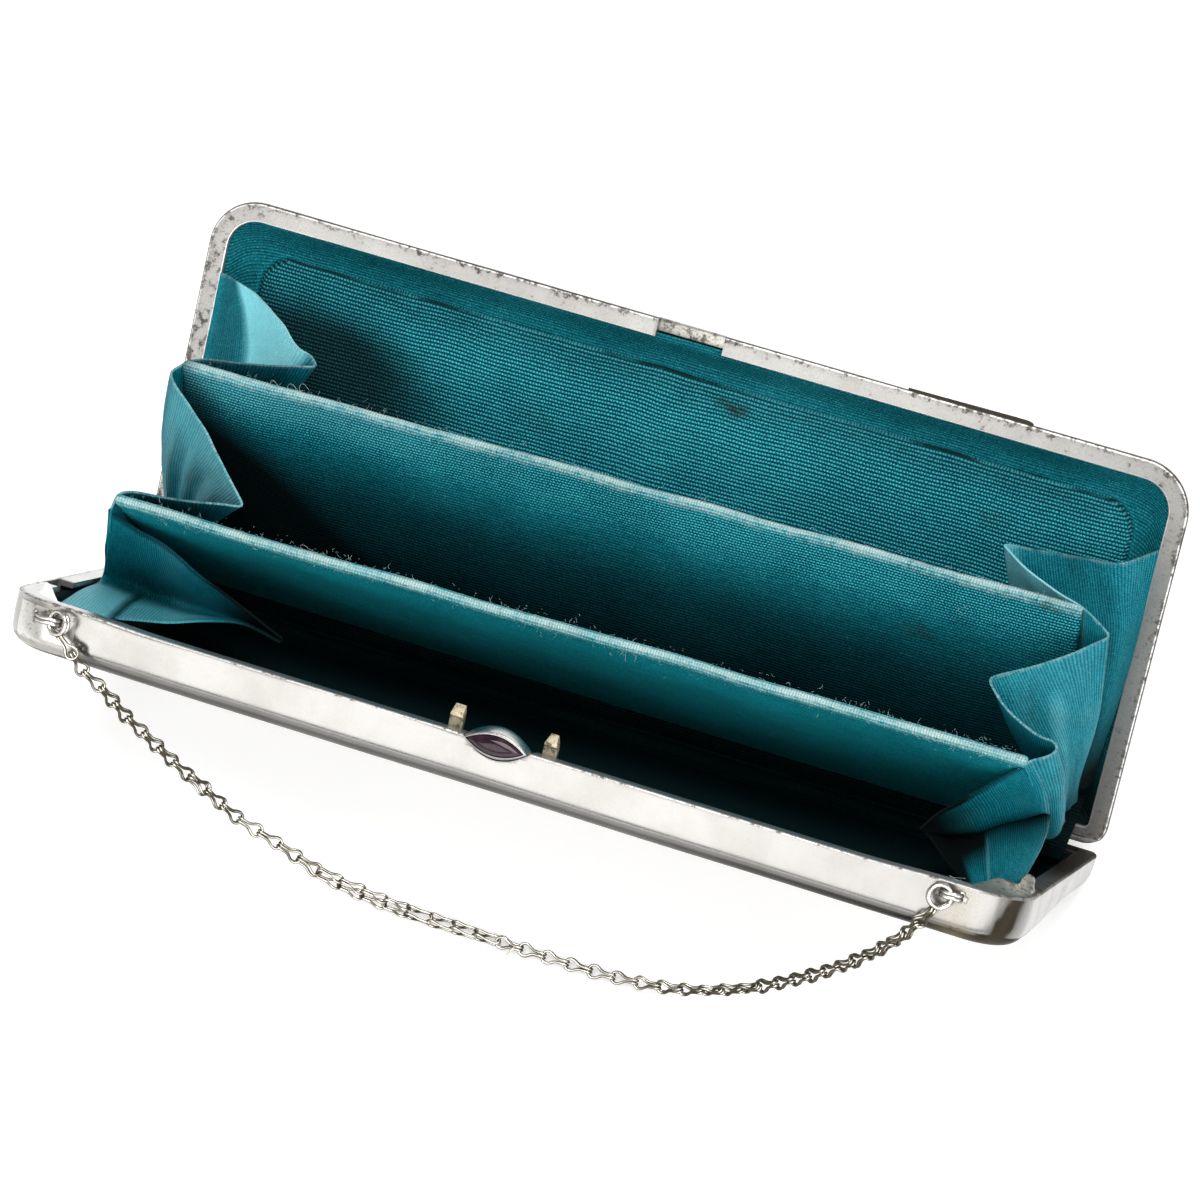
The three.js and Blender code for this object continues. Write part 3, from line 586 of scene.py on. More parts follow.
def shell(name, side, place, cutters, front_wall=None):
    wall = spline(np.array(WALL), 30)
    fuller = wall if front_wall is None else spline(np.array(front_wall), 30)
    profile = INNER + RIM + [tuple(w) for w in wall]
    rings = [ring(d, i, side) for d, i in profile]
    for k, (d, i) in enumerate(fuller):
        j = len(INNER) + len(RIM) + k
        w = smoothstep(12, 52, np.abs(rings[j][:, 1]))[:, None]
        rings[j] = rings[j] * (1 - w) + ring(d, i, side) * w
    depth = [np.full(len(rings[0]), d) for d, _ in profile]
    inset = [np.full(len(rings[0]), i) for _, i in profile]
    kind = [0] * len(INNER) + [1] * len(RIM) + [2] * len(wall)
    kind = [np.full(len(rings[0]), k) for k in kind]
    middle = np.array([0, side * REACH / 2])
    last = rings[-1]
    for f in (0.985, 0.94, 0.86, 0.74, 0.6, 0.44, 0.28, 0.12):
        p = last.copy()
        p[:, :2] = middle + (last[:, :2] - middle) * f
        p[:, 2] = last[:, 2] * f * f + (last[:, 2].mean() - 0.2) * (1 - f * f)
        rings.append(p)
        depth.append(np.full(len(p), DEPTH)), inset.append(np.full(len(p), 6.0)), kind.append(np.full(len(p), 3))
    verts, faces = loft(rings)
    depth, inset, kind = (np.concatenate(x) for x in (depth, inset, kind))
    low = -verts[:, 2] / np.tile(-last[:, 2], len(rings))
    # slight dents of long use
    amount = np.where(kind == 2, 0.05, np.where(kind == 3, 0.09, np.where(kind == 1, 0.015, 0)))
    verts[:, 2] += amount * wobble(verts, 34, 5 + side)
    verts[:, 1] += np.where(kind == 2, 0.05, 0) * wobble(verts, 27, 9 + side)
    if side < 0:  # the front rim sags a little between its corners
        sag = (1 - smoothstep(FRONT + 4, FRONT + 14, verts[:, 1])) * (1 - smoothstep(56, 72, np.abs(verts[:, 0])))
        verts[:, 2] -= 0.42 * sag * (1 - smoothstep(0.5, 3.5, depth))
    rim, wall_, back_ = kind == 1, kind == 2, kind == 3
    right = smoothstep(40, 82, verts[:, 0])
    lid_side = side > 0
    speck = np.select([rim, wall_, back_], [0.42 + 0.5 * (1 - smoothstep(0.3, 1.5, inset)) + 0.2 * right, 0.1 + 0.3 * smoothstep(0.7, 0.8, low), 0.35], 0.8)
    speck = np.where(rim & (inset > 2.95), 0.1, speck)
    line = rim & (inset < 0.21)
    if lid_side:
        speck = np.where(rim, np.clip(speck + 0.45 * smoothstep(-66, -80, verts[:, 0]), 0, 1), speck)
    # the dark band low on the front half's walls is a painted reflection of dark surroundings
    dark = np.select([rim, wall_, back_], [0.12 + 0.3 * right, 0.66 * smoothstep(0.725, 0.765, low) + 0.22 * smoothstep(0.785, 0.85, low), 0.15], 0.8)
    if lid_side:
        dark = np.where(line, 0.85, np.where(rim & (inset < 0.4), 0.0, dark))
        dark = np.where(wall_ & (depth < 0.62), 0.6, np.where(wall_, 0.0, dark))
        speck = np.where(wall_, 0.05, speck)
    dull = np.ones(len(speck))
    if lid_side:
        dull = np.where(wall_ | back_, 0.12, dull)
        dull = np.where(rim & (inset < 0.4) & ~line, 0.1, dull)
        dull = np.where(rim & (inset > 2.95), 0.1, dull)
    else:
        dull = np.where(rim, 0.45, dull)
    # tarnish round the front half's corners, by its lugs and on its right rim; the dark band down the right front
    # corner is a painted reflection and the darker end walls are painted shade
    turn = np.degrees(np.arctan2(verts[:, 0] - (LENGTH / 2 - CORNER_OPEN), FRONT + CORNER_OPEN - verts[:, 1]))
    bend = np.exp(-(((turn - 52 + 16 * low) / 14) ** 2)) * (wall_ & (side < 0) & (verts[:, 0] > 70) & (verts[:, 1] < FRONT + 12))
    ends = 0.3 * smoothstep(79.5, 81.5, np.abs(verts[:, 0])) * (wall_ & (side < 0))
    lugs = sum(np.exp(-(((verts[:, 0] - x) / w) ** 2)) for x, w in ((-73.5, 3.6), (73.0, 2.6))) * (wall_ & (side < 0) & (verts[:, 1] < FRONT + 6))
    dark = dark + 1.5 * bend * (0.7 + 0.3 * smoothstep(0.1, 0.6, low)) + ends + 0.12 * lugs + 0.09 * smoothstep(20, 66, verts[:, 0]) * (wall_ & (side < 0))
    if not lid_side:
        dark = dark + 0.45 * (rim & (verts[:, 0] > 76)) * (smoothstep(FRONT + 3, FRONT + 14, verts[:, 1]) + 0.6 * smoothstep(-40, -8, verts[:, 1]))
        dull = np.where(rim & (verts[:, 0] > 76), 1.0, dull)
    speck = np.clip(speck + 0.5 * bend + 0.4 * lugs, 0, 1)
    finish = np.stack([speck, np.clip(dark, 0, 1), 0.04 * bend + 0.16 * lugs, dull], 1)
    placed = place(verts)
    ob = cut(Build().add(placed, faces, finish=finish).object(name, SILVER, 30), cutters, 30)
    # the cut faces are dull and tarnished
    tree = KDTree(len(placed))
    for k, p in enumerate(placed):
        tree.insert(p, k)
    tree.balance()
    values = np.empty((len(ob.data.vertices), 4))
    for k, v in enumerate(ob.data.vertices):
        _, j, d = tree.find(np.array(v.co) / MM)
        values[k] = finish[j] if d < 0.01 else (0.75, 0.4, 0.0, 1.0)
    ob.data.attributes["finish"].data.foreach_set("color", values.ravel())
    return ob


def knuckles(on_this):
    b = Build()
    a = 2 * math.pi * np.arange(24) / 24
    for x0, x1, on in KNUCKLE:
        if on != on_this:
            continue
        rings = []
        for x, r in ((x0, KNUCKLE_BORE), (x0, KNUCKLE_RADIUS - 0.12), (x0 + 0.12, KNUCKLE_RADIUS), (x1 - 0.12, KNUCKLE_RADIUS), (x1, KNUCKLE_RADIUS - 0.12), (x1, KNUCKLE_BORE)):
            rings.append(np.column_stack([np.full(24, x), HINGE_Y + r * np.cos(a), HINGE_Z + r * np.sin(a)]))
        v = np.concatenate(rings)
        b.add(v, grid_faces(len(rings), 24, wrap_cols=True, wrap_rows=True), finish=(0.9, 0.45, 0.0, 1.0))
    return b.object("knuckles", SILVER, 30)


def rounded_box(place, x0, x1, y0, y1, z0, z1, bevel, finish, name="block", segments=3):
    p = np.array([[x, y, z] for z in (z0, z1) for y in (y0, y1) for x in (x0, x1)])
    f = [[0, 2, 3, 1], [4, 5, 7, 6], [0, 1, 5, 4], [2, 6, 7, 3], [0, 4, 6, 2], [1, 3, 7, 5]]
    ob = Build().add(place(p), f, finish=finish).object(name, SILVER, 30)
    m = ob.modifiers.new("round", "BEVEL")
    m.width, m.segments, m.limit_method = bevel * MM, segments, "NONE"
    applied(ob, 30)
    return ob


def plate(name, edge, lift, finish):
    """A thin plate in a front corner: from the corner's outline to a free inner edge."""
    edge = np.asarray(edge, float)
    n, m = 40, 14
    inner = spline(edge, n)
    end = 1 if edge[0, 0] > 0 else -1
    cx, cy = end * (LENGTH / 2 - CORNER_OPEN), FRONT + CORNER_OPEN
    rad = CORNER_OPEN - 0.95
    a = np.radians(np.linspace(0, 90, n))
    arc = np.stack([cx + end * rad * np.cos(a), cy - rad * np.sin(a)], 1)
    run0 = np.linspace(0, 1, 8)[:, None]
    side0 = np.array([[end * (LENGTH / 2 - 0.95), edge[0, 1]]]) * (1 - run0) + arc[:1] * run0
    side1 = arc[-1:] * (1 - run0) + np.array([[edge[-1, 0], FRONT + 0.95]]) * run0
    outer = spline(np.concatenate([side0[:-1:3], arc[::5], side1[1::3]]), n)
    q = np.linspace(0, 1, m)[:, None, None]
    grid = outer[None] * (1 - q) + inner[None, :, :2] * q
    s = np.broadcast_to(np.linspace(0, 1, n)[None, :], (m, n))
    t = np.broadcast_to(np.linspace(0, 1, m)[:, None], (m, n))
    z = 0.02 + lift(s, t)
    if inner.shape[1] == 3:
        z = z + t**1.5 * inner[None, :, 2]
    top = np.concatenate([grid, z[..., None]], 2).reshape(-1, 3)
    under = top - [0, 0, 0.42]
    faces = grid_faces(m, n) + [f[::-1] for f in grid_faces(m, n, start=m * n)]
    border = [i for i in range(n)] + [i * n + n - 1 for i in range(1, m)] + [(m - 1) * n + i for i in range(n - 2, -1, -1)] + [i * n for i in range(m - 2, 0, -1)]
    for k, i in enumerate(border):
        j = border[(k + 1) % len(border)]
        faces.append([i, i + m * n, j + m * n, j])
    return Build().add(on_base(np.concatenate([top, under])), faces, finish=finish).object(name, SILVER, 40)


LUGS = {"left": (-74.3, -2.55, 2.0), "right": (71.6, -1.85, 1.55)}


def lug(side):
    """A double wire staple soldered to the front wall, with a little solder around its feet."""
    x, z, half = LUGS[side]
    b = Build()
    for dz in (-0.31, 0.31):
        path = [(-1.0, 0.4), (-0.99, -0.4), (-0.8, -1.1), (-0.3, -1.38), (0.3, -1.38), (0.8, -1.1), (0.99, -0.4), (1.0, 0.4)]
        path = np.array([(x + half * px, FRONT + py, z + dz + 0.04 * math.sin(6 * px)) for px, py in path])
        path = spline(path, 34)
        v, f = tube(path, 0.36, 14)
        b.add(on_base(v), f, finish=painted_wire_highlight(v, path, WIRE_HIGHLIGHT_TOWARD_BASE, 0.2))
    for foot in (-half, half):
        a = 2 * math.pi * np.arange(30) / 30
        rings = []
        for f_, y in ((1.0, FRONT + 0.16), (0.9, FRONT - 0.06), (0.68, FRONT - 0.2), (0.35, FRONT - 0.26)):
            r = 1 + 0.16 * np.sin(3 * a + x) + 0.07 * np.sin(7 * a)
            rings.append(np.stack([x + foot + 1.0 * f_ * r * np.cos(a), np.full(30, y), z - 0.05 + 1.0 * f_ * r * np.sin(a)], 1))
        v, f = loft(rings)
        b.add(on_base(v), f, finish=(0.85, 0.22, 0.12, 0.6))
    return b.object("lug", SILVER, 40)


def solder_plate():
    """The thin plate under the left staple, following the corner."""
    prof = spline(np.array(WALL_FRONT), 30)[1:20]
    along = [("flat", x) for x in np.linspace(-69.8, -74.2, 10)] + [("arc", a) for a in np.radians(np.linspace(2, 42, 12))]
    rows = []
    for d, i in prof:
        row = []
        for kind, t in along:
            r = CORNER_OPEN - i + 0.07
            row.append((t, FRONT + i - 0.07, -d) if kind == "flat" else (CORNER_OPEN - LENGTH / 2 - r * math.sin(t), FRONT + CORNER_OPEN - r * math.cos(t), -d))
        rows.append(row)
    top = np.array(rows)
    m, n = top.shape[:2]
    inside = top + [0.12, 0.3, 0.1]
    verts = np.concatenate([top.reshape(-1, 3), inside.reshape(-1, 3)])
    faces = grid_faces(m, n) + [f[::-1] for f in grid_faces(m, n, start=m * n)]
    border = list(range(n)) + [k * n + n - 1 for k in range(1, m)] + [(m - 1) * n + k for k in range(n - 2, -1, -1)] + [k * n for k in range(m - 2, 0, -1)]
    for k, i in enumerate(border):
        j = border[(k + 1) % len(border)]
        faces.append([i, i + m * n, j + m * n, j])
    d = -verts[:, 2]
    speck = 0.55 + 0.45 * np.exp(-(((verts[:, 0] + 73.5) / 3.2) ** 2) - ((d - 1.4) / 0.9) ** 2)
    # the plate darkens at its low edge as a painted reflection, like the wall's band, and along its end edge as a
    # painted shadow line
    dark = 0.05 + 0.5 * np.exp(-(((verts[:, 0] + 73.5) / 3.0) ** 2) - ((d - 1.3) / 0.7) ** 2) + 0.55 * smoothstep(6.2, 6.7, d)
    edge = np.abs(verts[:, 0] + 69.8) < 0.2
    finish = np.stack([speck, np.clip(dark + 0.6 * edge, 0, 1), np.full(len(d), 0.06), np.full(len(d), 0.35)], 1)
    return Build().add(on_base(verts), faces, finish=finish).object("solder_plate", SILVER, 25)


# front half
navette_cut = Build().add(*(lambda v, f: (on_base(v), f))(*loft([navette(5.26, 2.22, FRONT - 1.2, 0.28), navette(5.8, 3.0, FRONT + FLANGE + 0.5, 0.45)]))).object("cutter", None)
base_cutters = [navette_cut, box_cutter(on_base, -81.8, -78.6, -47.3, -40.6, -2.4, 1.0)]
base_cutters += [rod_cutter(KNUCKLE_RADIUS + GAP, x0 - GAP, x1 + GAP) for x0, x1, on in KNUCKLE if not on]
base_cutters += [rod_cutter(KNUCKLE_RADIUS + GAP, -LENGTH, -HINGE_RUN / 2), rod_cutter(KNUCKLE_RADIUS + GAP, HINGE_RUN / 2, LENGTH)]
base = shell("front_half", -1, on_base, base_cutters, WALL_FRONT)
left_plate = plate(
    "plate_left",
    [(-81.4, -46.8), (-79.2, -51.0), (-76.6, -56.4), (-73.8, -61.6)],
    lambda s, t: 0.35 * t**3 * np.sin(math.pi * np.clip(s, 0, 1)) - 0.12 * np.sin(math.pi * t) * np.sin(math.pi * s),
    (0.25, 0.0, 0.0, 0.3),
)
right_plate = plate(
    "plate_right",
    [(81.3, -50.0, 0.1), (81.0, -49.0, 0.5), (80.5, -47.5, 1.4), (79.5, -47.2, 1.7), (79.0, -48.8, 1.4), (79.2, -52.0, 0.85), (79.1, -54.0, 0.95), (77.7, -55.5, 1.3), (76.5, -56.0, 1.3), (75.6, -57.4, 0.9), (74.7, -58.7, 0.5), (73.4, -62.2, 0.0)],
    lambda s, t: 0.1 * np.sin(math.pi * t) * np.sin(5 * math.pi * s),
    (0.9, 0.26, 0.12, 1.0),
)
join(base, [knuckles(True), left_plate, right_plate, solder_plate(), lug("left"), lug("right")])
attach(base, "root"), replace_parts(base, "base_shell"), base

# lid
lid_cutters = [box_cutter(on_lid, CATCH_X - CATCH_WIDTH / 2 + 0.7, CATCH_X + CATCH_WIDTH / 2 - 0.5, REACH - 3.6, REACH + 1, -1.0, 1)]
lid_cutters += [rod_cutter(KNUCKLE_RADIUS + GAP, x0 - GAP, x1 + GAP) for x0, x1, on in KNUCKLE if on]
lid_cutters += [rod_cutter(KNUCKLE_RADIUS + GAP, -LENGTH, -HINGE_RUN / 2 - GAP), rod_cutter(KNUCKLE_RADIUS + GAP, HINGE_RUN / 2 + GAP, LENGTH)]
lid = shell("lid_half", 1, on_lid, lid_cutters)


def plaque_plate():
    """The applied plate on the lid's outside: it follows the curved edge, and its end shows over the rim."""
    prof = spline(np.array([(0.32, 0.0)] + WALL[1:] + [(7.32, 9.0), (7.38, 12.5), (7.4, 15.6)]), 60)
    tan = np.gradient(prof, axis=0)
    out = np.stack([tan[:, 1], -tan[:, 0]], 1)
    out /= np.linalg.norm(out, axis=1, keepdims=True)
    x0, x1 = 34.8, 55.4
    xs = np.concatenate([[x0], np.linspace(x0 + 0.3, x1 - 1.4, 40), x1 - 1.4 + 1.4 * np.sin(np.linspace(0, math.pi / 2, 9))[1:]])
    round_end = np.sqrt(np.clip(1 - (np.clip(xs - (x1 - 1.4), 0, None) / 1.42) ** 2, 0, 1))
    thick = (0.32 + 0.24 * np.clip((xs - x0) / (x1 - 3 - x0), 0, 1)) * (0.25 + 0.75 * round_end)
    top, low = [], []
    for x, t in zip(xs, thick):
        d, i = (prof + out * t).T
        top.append(np.column_stack([np.full(len(d), x), REACH - i, -d]))
        d, i = (prof - out * 0.25).T
        low.append(np.column_stack([np.full(len(d), x), REACH - i, -d]))
    top, low = np.array(top), np.array(low)
    m, n = top.shape[:2]
    verts = np.concatenate([top.reshape(-1, 3), low.reshape(-1, 3)])
    faces = grid_faces(m, n) + [f[::-1] for f in grid_faces(m, n, start=m * n)]
    finish = np.tile([0.05, 0.0, 0.0, 0.0], (len(verts), 1))
    border = list(range(n)) + [k * n + n - 1 for k in range(1, m)] + [(m - 1) * n + k for k in range(n - 2, -1, -1)] + [k * n for k in range(m - 2, 0, -1)]
    for k, i in enumerate(border):
        j = border[(k + 1) % len(border)]
        faces.append([i, i + m * n, j + m * n, j])
    made = Build().add(on_lid(verts), faces, finish=finish)
    # the dark end that faces the opening: a painted shadow
    lip_top, lip_low = top[:, 0], low[:, 0]
    lift = np.array([0, 0, 0.02])
    made.add(on_lid(np.concatenate([lip_top + lift, lip_low + lift, lip_top + [0, 0, -0.1]])), grid_faces(3, m), finish=(0.3, 1.0, 0.05, 1.0))
    return made.object("plaque", SILVER, 30)


plaque = plaque_plate()
catch = rounded_box(on_lid, CATCH_X - CATCH_WIDTH / 2 - 0.1, CATCH_X + CATCH_WIDTH / 2 + 0.1, REACH - 2.15, REACH - 0.3, -3.0, -0.75, 0.15, (1.0, 0.1, 0.16, 0.7), "catch_floor", 2)
join(lid, [knuckles(False), plaque, catch])
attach(lid, "root"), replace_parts(lid, "lid_shell"), lid

pin = Build()
v, f = tube(np.column_stack([np.linspace(-70.4, 70.4, 40), np.full(40, HINGE_Y), np.full(40, HINGE_Z)]), 0.6, 16)
pin.add(v, f, finish=(0.9, 0.5, 0.1, 1.0))
pin = pin.object("hinge_wire", SILVER, 40)
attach(pin, "root"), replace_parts(pin, "hinge_pin"), pin


# ---- silk linings -------------------------------------------------------------
LINING_RINGS = [(1.0, 2.5), (1.05, 3.15), (1.35, 3.75), (1.9, 4.2), (2.6, 4.8), (3.3, 5.5), (3.85, 6.3), (4.15, 7.1), (4.3, 7.7), (4.42, 8.1), (4.72, 8.4), (4.72, 8.65), (4.4, 9.0), (4.36, 9.6)]


def lining(name, side, place, node, stain_at, drop=0.0):
    rings = []
    for d, i in LINING_RINGS:
        r_open = max(CORNER_OPEN - i, 0.8) if i < 4 else 4.6 + min((i - 4) * 0.2, 0.9)
        r_hinge = 1.6 + 0.3 * max(i - 3, 0)
        rings.append(ring(d + drop, i, side, r_open=r_open, r_hinge=r_hinge))
    middle = np.array([0, side * REACH / 2])
    last = rings[-1]
    for f in np.linspace(0.97, 0.02, 34):
        p = last.copy()
        p[:, :2] = middle + (last[:, :2] - middle) * f
        rings.append(p)
    verts, faces = loft(rings, caps=False)
    faces.append([(len(rings) - 1) * len(last) + k for k in range(len(last))])
    k = np.repeat(np.arange(len(rings)), len(last))
    slack = smoothstep(2, 6, k) * (0.25 + 0.75 * (k < 12))
    stretched = verts[:, [0, 1]] * [1 / 24, 1 / 5.0]
    verts[:, 2] += slack * 0.11 * wobble(stretched, 1, 31 + side) + 0.07 * smoothstep(12, 16, k) * wobble(verts[:, :2], 22, 3 + side)
    uv = verts[:, :2].copy()
    uv[:, 1] += side * (verts[:, 2] + 4.36) * 0.8
    stain = np.zeros(len(verts))
    for x, y, rx, ry, amount in stain_at:
        d = np.hypot((verts[:, 0] - x) / rx, (verts[:, 1] - y) / ry)
        stain = np.maximum(stain, amount * (1 - smoothstep(0.35, 1.0, d)))
    wear = np.zeros(len(verts))
    up = np.abs(verts[:, 1])
    # painted shade: a dark line at the seam, a darker border, darkening towards the hinge, a band under the seam and
    # the gusset's shadow on the lid; the front lining is painted nearly black
    soil = 0.6 * np.exp(-((k - 10.4) / 0.8) ** 2) + 0.36 * (k < 9) + 0.6 * (1 - smoothstep(6, 22, up))
    if side > 0:
        soil = soil + 0.4 * (1 - smoothstep(0.4, 8.0, REACH - 8.6 - up)) * (k > 10)
        past = (verts[:, 0] + 60) * 0.545 + (up - 54) * 0.839
        soil = soil + 0.86 * (1 - smoothstep(-7, 4, past)) * (1 - smoothstep(-52, -28, verts[:, 0])) * (1 - smoothstep(44, 52, up)) * (k > 10)
    else:
        soil = soil * 0 + 0.96
    nap = 0.85 * (k < 11)
    ob = Build().add(place(verts), faces, cloth=uv, wear=wear, stain=stain, soil=np.clip(soil, 0, 1), nap=nap).object(name, SILK, 60)
    thicken(ob, 0.35, 1.0 if side < 0 else 1.0, 60)
    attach(ob, "root"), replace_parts(ob, node), ob
    return ob


lid_silk = lining("lid_silk", 1, on_lid, "lid_lining", [(8.0, 50.9, 2.8, 1.7, 0.9), (5.4, 51.6, 1.6, 1.1, 0.7), (-24, 40, 5, 2.5, 0.25), (52, 46, 4, 2.2, 0.25)])
base_silk = lining("front_silk", -1, on_base, "base_lining", [], 0.25)


def hinge_cloth():
    """The part of the front lining that passes over the hinge to the lid's."""
    path = np.concatenate([
        on_base([[0, -7.5, -1.75], [0, -5.8, -1.3], [0, -4.5, -0.4], [0, -3.8, 0.5]]),
        on_leaf(0.0, np.array([3.4, 3.2, 3.1, 3.2, 3.4]), np.array([16, 28, 41.4, 55, 67])),
        on_lid([[0, 3.8, 0.5], [0, 4.5, -0.4], [0, 5.8, -1.0], [0, 7.5, -1.5]]),
    ])
    path = spline(path, 44)
    run = np.concatenate([[0], np.cumsum(np.linalg.norm(np.diff(path, axis=0), axis=1))])
    xs = np.linspace(-77.5, 77.5, 120)
    grid = path[None] + np.stack([xs, 0 * xs, 0 * xs], 1)[:, None]
    grid[..., 2] += 0.14 * wobble(np.stack(np.broadcast_arrays(xs[:, None] / 12, run[None] / 5), -1), 1, 61)
    uv = np.stack(np.broadcast_arrays(xs[:, None], run[None]), -1)
    flat = np.zeros(grid.shape[:2])
    # the hinge cloth is painted nearly black as shade
    ob = Build().add(grid.reshape(-1, 3), grid_faces(len(xs), len(path)), cloth=uv.reshape(-1, 2), wear=flat.ravel(), stain=flat.ravel() + 0.15, soil=flat.ravel() + 0.97).object("hinge_cloth", SILK, 60, normals=False)
    return thicken(ob, 0.3, 0.0, 60)


join(base_silk, [hinge_cloth()])


# ---- stiff dividers -----------------------------------------------------------
PANELS = {
    "panel_front": {"x": (-73.2, 75.0), "deg": (18.0, 20.6), "reach": 52.2, "bow": 0.5, "stains": []},
    "panel_rear": {"x": (-72.2, 74.4), "deg": (46.4, 50.8), "reach": 52.4, "bow": -0.6, "stains": [(49, 38, 4.5, 2.4, 0.5), (69.5, 51.3, 2.6, 1.6, 0.6)]},
}


def divider(name, spec):
    foot, reach, h = 3.9, spec["reach"], 0.85
    face = np.linspace(foot, reach - h, 50)
    face = reach - h - (reach - h - foot) * (1 - np.linspace(0, 1, 50)) ** 1.15
    arc = np.radians(np.linspace(0, 180, 13))[1:-1]
    r = np.concatenate([face, reach - h + h * np.sin(arc), face[::-1]])
    w = np.concatenate([np.full(50, h), h * np.cos(arc), np.full(50, -h)])
    along = np.concatenate([[0], np.cumsum(np.hypot(np.diff(r), np.diff(w)))])
    x0, x1 = spec["x"]
    xs = np.concatenate([[x0, x0 + 0.12, x0 + 0.4], np.linspace(x0 + 0.9, x1 - 0.9, 150), [x1 - 0.4, x1 - 0.12, x1]])
    squeeze = np.concatenate([[0.25, 0.7, 0.93], np.ones(150), [0.93, 0.7, 0.25]])
    R, X = np.meshgrid(r, xs)
    W = w[None] * squeeze[:, None]
    R = R - (1 - squeeze[:, None]) * 0.5 * (R > reach - 3)
    t = (X - x0) / (x1 - x0)
    deg = spec["deg"][0] + (spec["deg"][1] - spec["deg"][0]) * t
    a = np.radians(90 + HALF_ANGLE - deg)
    out = spec["bow"] * np.sin(math.pi * t) * np.sin(math.pi * np.clip(R / reach, 0, 1)) * 1.2
    flat = np.stack([X / 30, R / 24], -1)
    out = out + 0.16 * wobble(flat, 1, len(name)) * smoothstep(6, 20, R)
    edge_dip = 0.06 * wobble(X[..., None] / 26, 1, 40 + len(name)) + 0.03 * wobble(X[..., None] / 6, 1, 44 + len(name))
    R = R + edge_dip * smoothstep(reach - 8, reach, R)
    W = W + out
    verts = np.stack([X, HINGE_Y + R * np.cos(a) - W * np.sin(a), HINGE_Z + R * np.sin(a) + W * np.cos(a)], -1)
    m = len(r)
    faces = grid_faces(len(xs), m, wrap_cols=True)
    faces += [list(range(m))[::-1], [(len(xs) - 1) * m + k for k in range(m)]]
    top = along[len(face) + len(arc) // 2]
    S = np.broadcast_to(along[None], X.shape)
    uv = np.stack([X, S], -1)
    from_top = np.abs(S - top)
    from_top = from_top + 0.1 * wobble(X[..., None] / 9, 1, 3)
    wear = (0.62 * (1 - smoothstep(1.2, 2.7, from_top)) + 0.38 * (1 - smoothstep(0.2, 0.75, from_top))) * (0.85 + 0.15 * wobble(X[..., None] / 20, 1, 8))
    # painted shade: each panel darkens towards the hinge, and the rear panel also carries the left gusset's painted
    # shadow
    if name == "panel_rear":
        soil = 0.74 * (1 - smoothstep(27, 50.5, R)) + 0.22 * (1 - smoothstep(8, 30, R))
        gusset_shadow_reach = 4.0 + np.clip(52 - R, 0, 60) * 0.62
        soil = np.clip(soil + 0.6 * (1 - smoothstep(0.45, 1.5, (X + 74.5) / gusset_shadow_reach)), 0, 0.98)
    else:
        soil = 0.3 * (1 - smoothstep(6, 30, R))
    nap = 0.85 * (1 - smoothstep(38, 49, R)) if name == "panel_rear" else 0.8 * (1 - smoothstep(47, 52, R))
    # painted light near the top of the rear panel's left part
    pale = 0.14 * smoothstep(43, 51, R) * (1 - smoothstep(-62, -10, X)) * (name == "panel_rear")
    stain = np.zeros(X.shape)
    for sx, sr, rx, rr, amount in spec["stains"]:
        d = np.hypot((X - sx) / rx, (R - sr) / rr)
        stain = np.maximum(stain, amount * (1 - smoothstep(0.3, 1.0, d)))
    ob = Build().add(verts.reshape(-1, 3), faces, cloth=uv.reshape(-1, 2), wear=np.clip(wear, 0, 1).ravel(), stain=stain.ravel(), soil=soil.ravel(), nap=nap.ravel(), pale=pale.ravel()).object(name + "_silk", SILK_FRONT_PAINTED_LIGHTER if name == "panel_front" else SILK, 60)
    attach(ob, "root"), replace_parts(ob, name), ob
    return ob


for panel_name, panel_spec in PANELS.items():
    divider(panel_name, panel_spec)

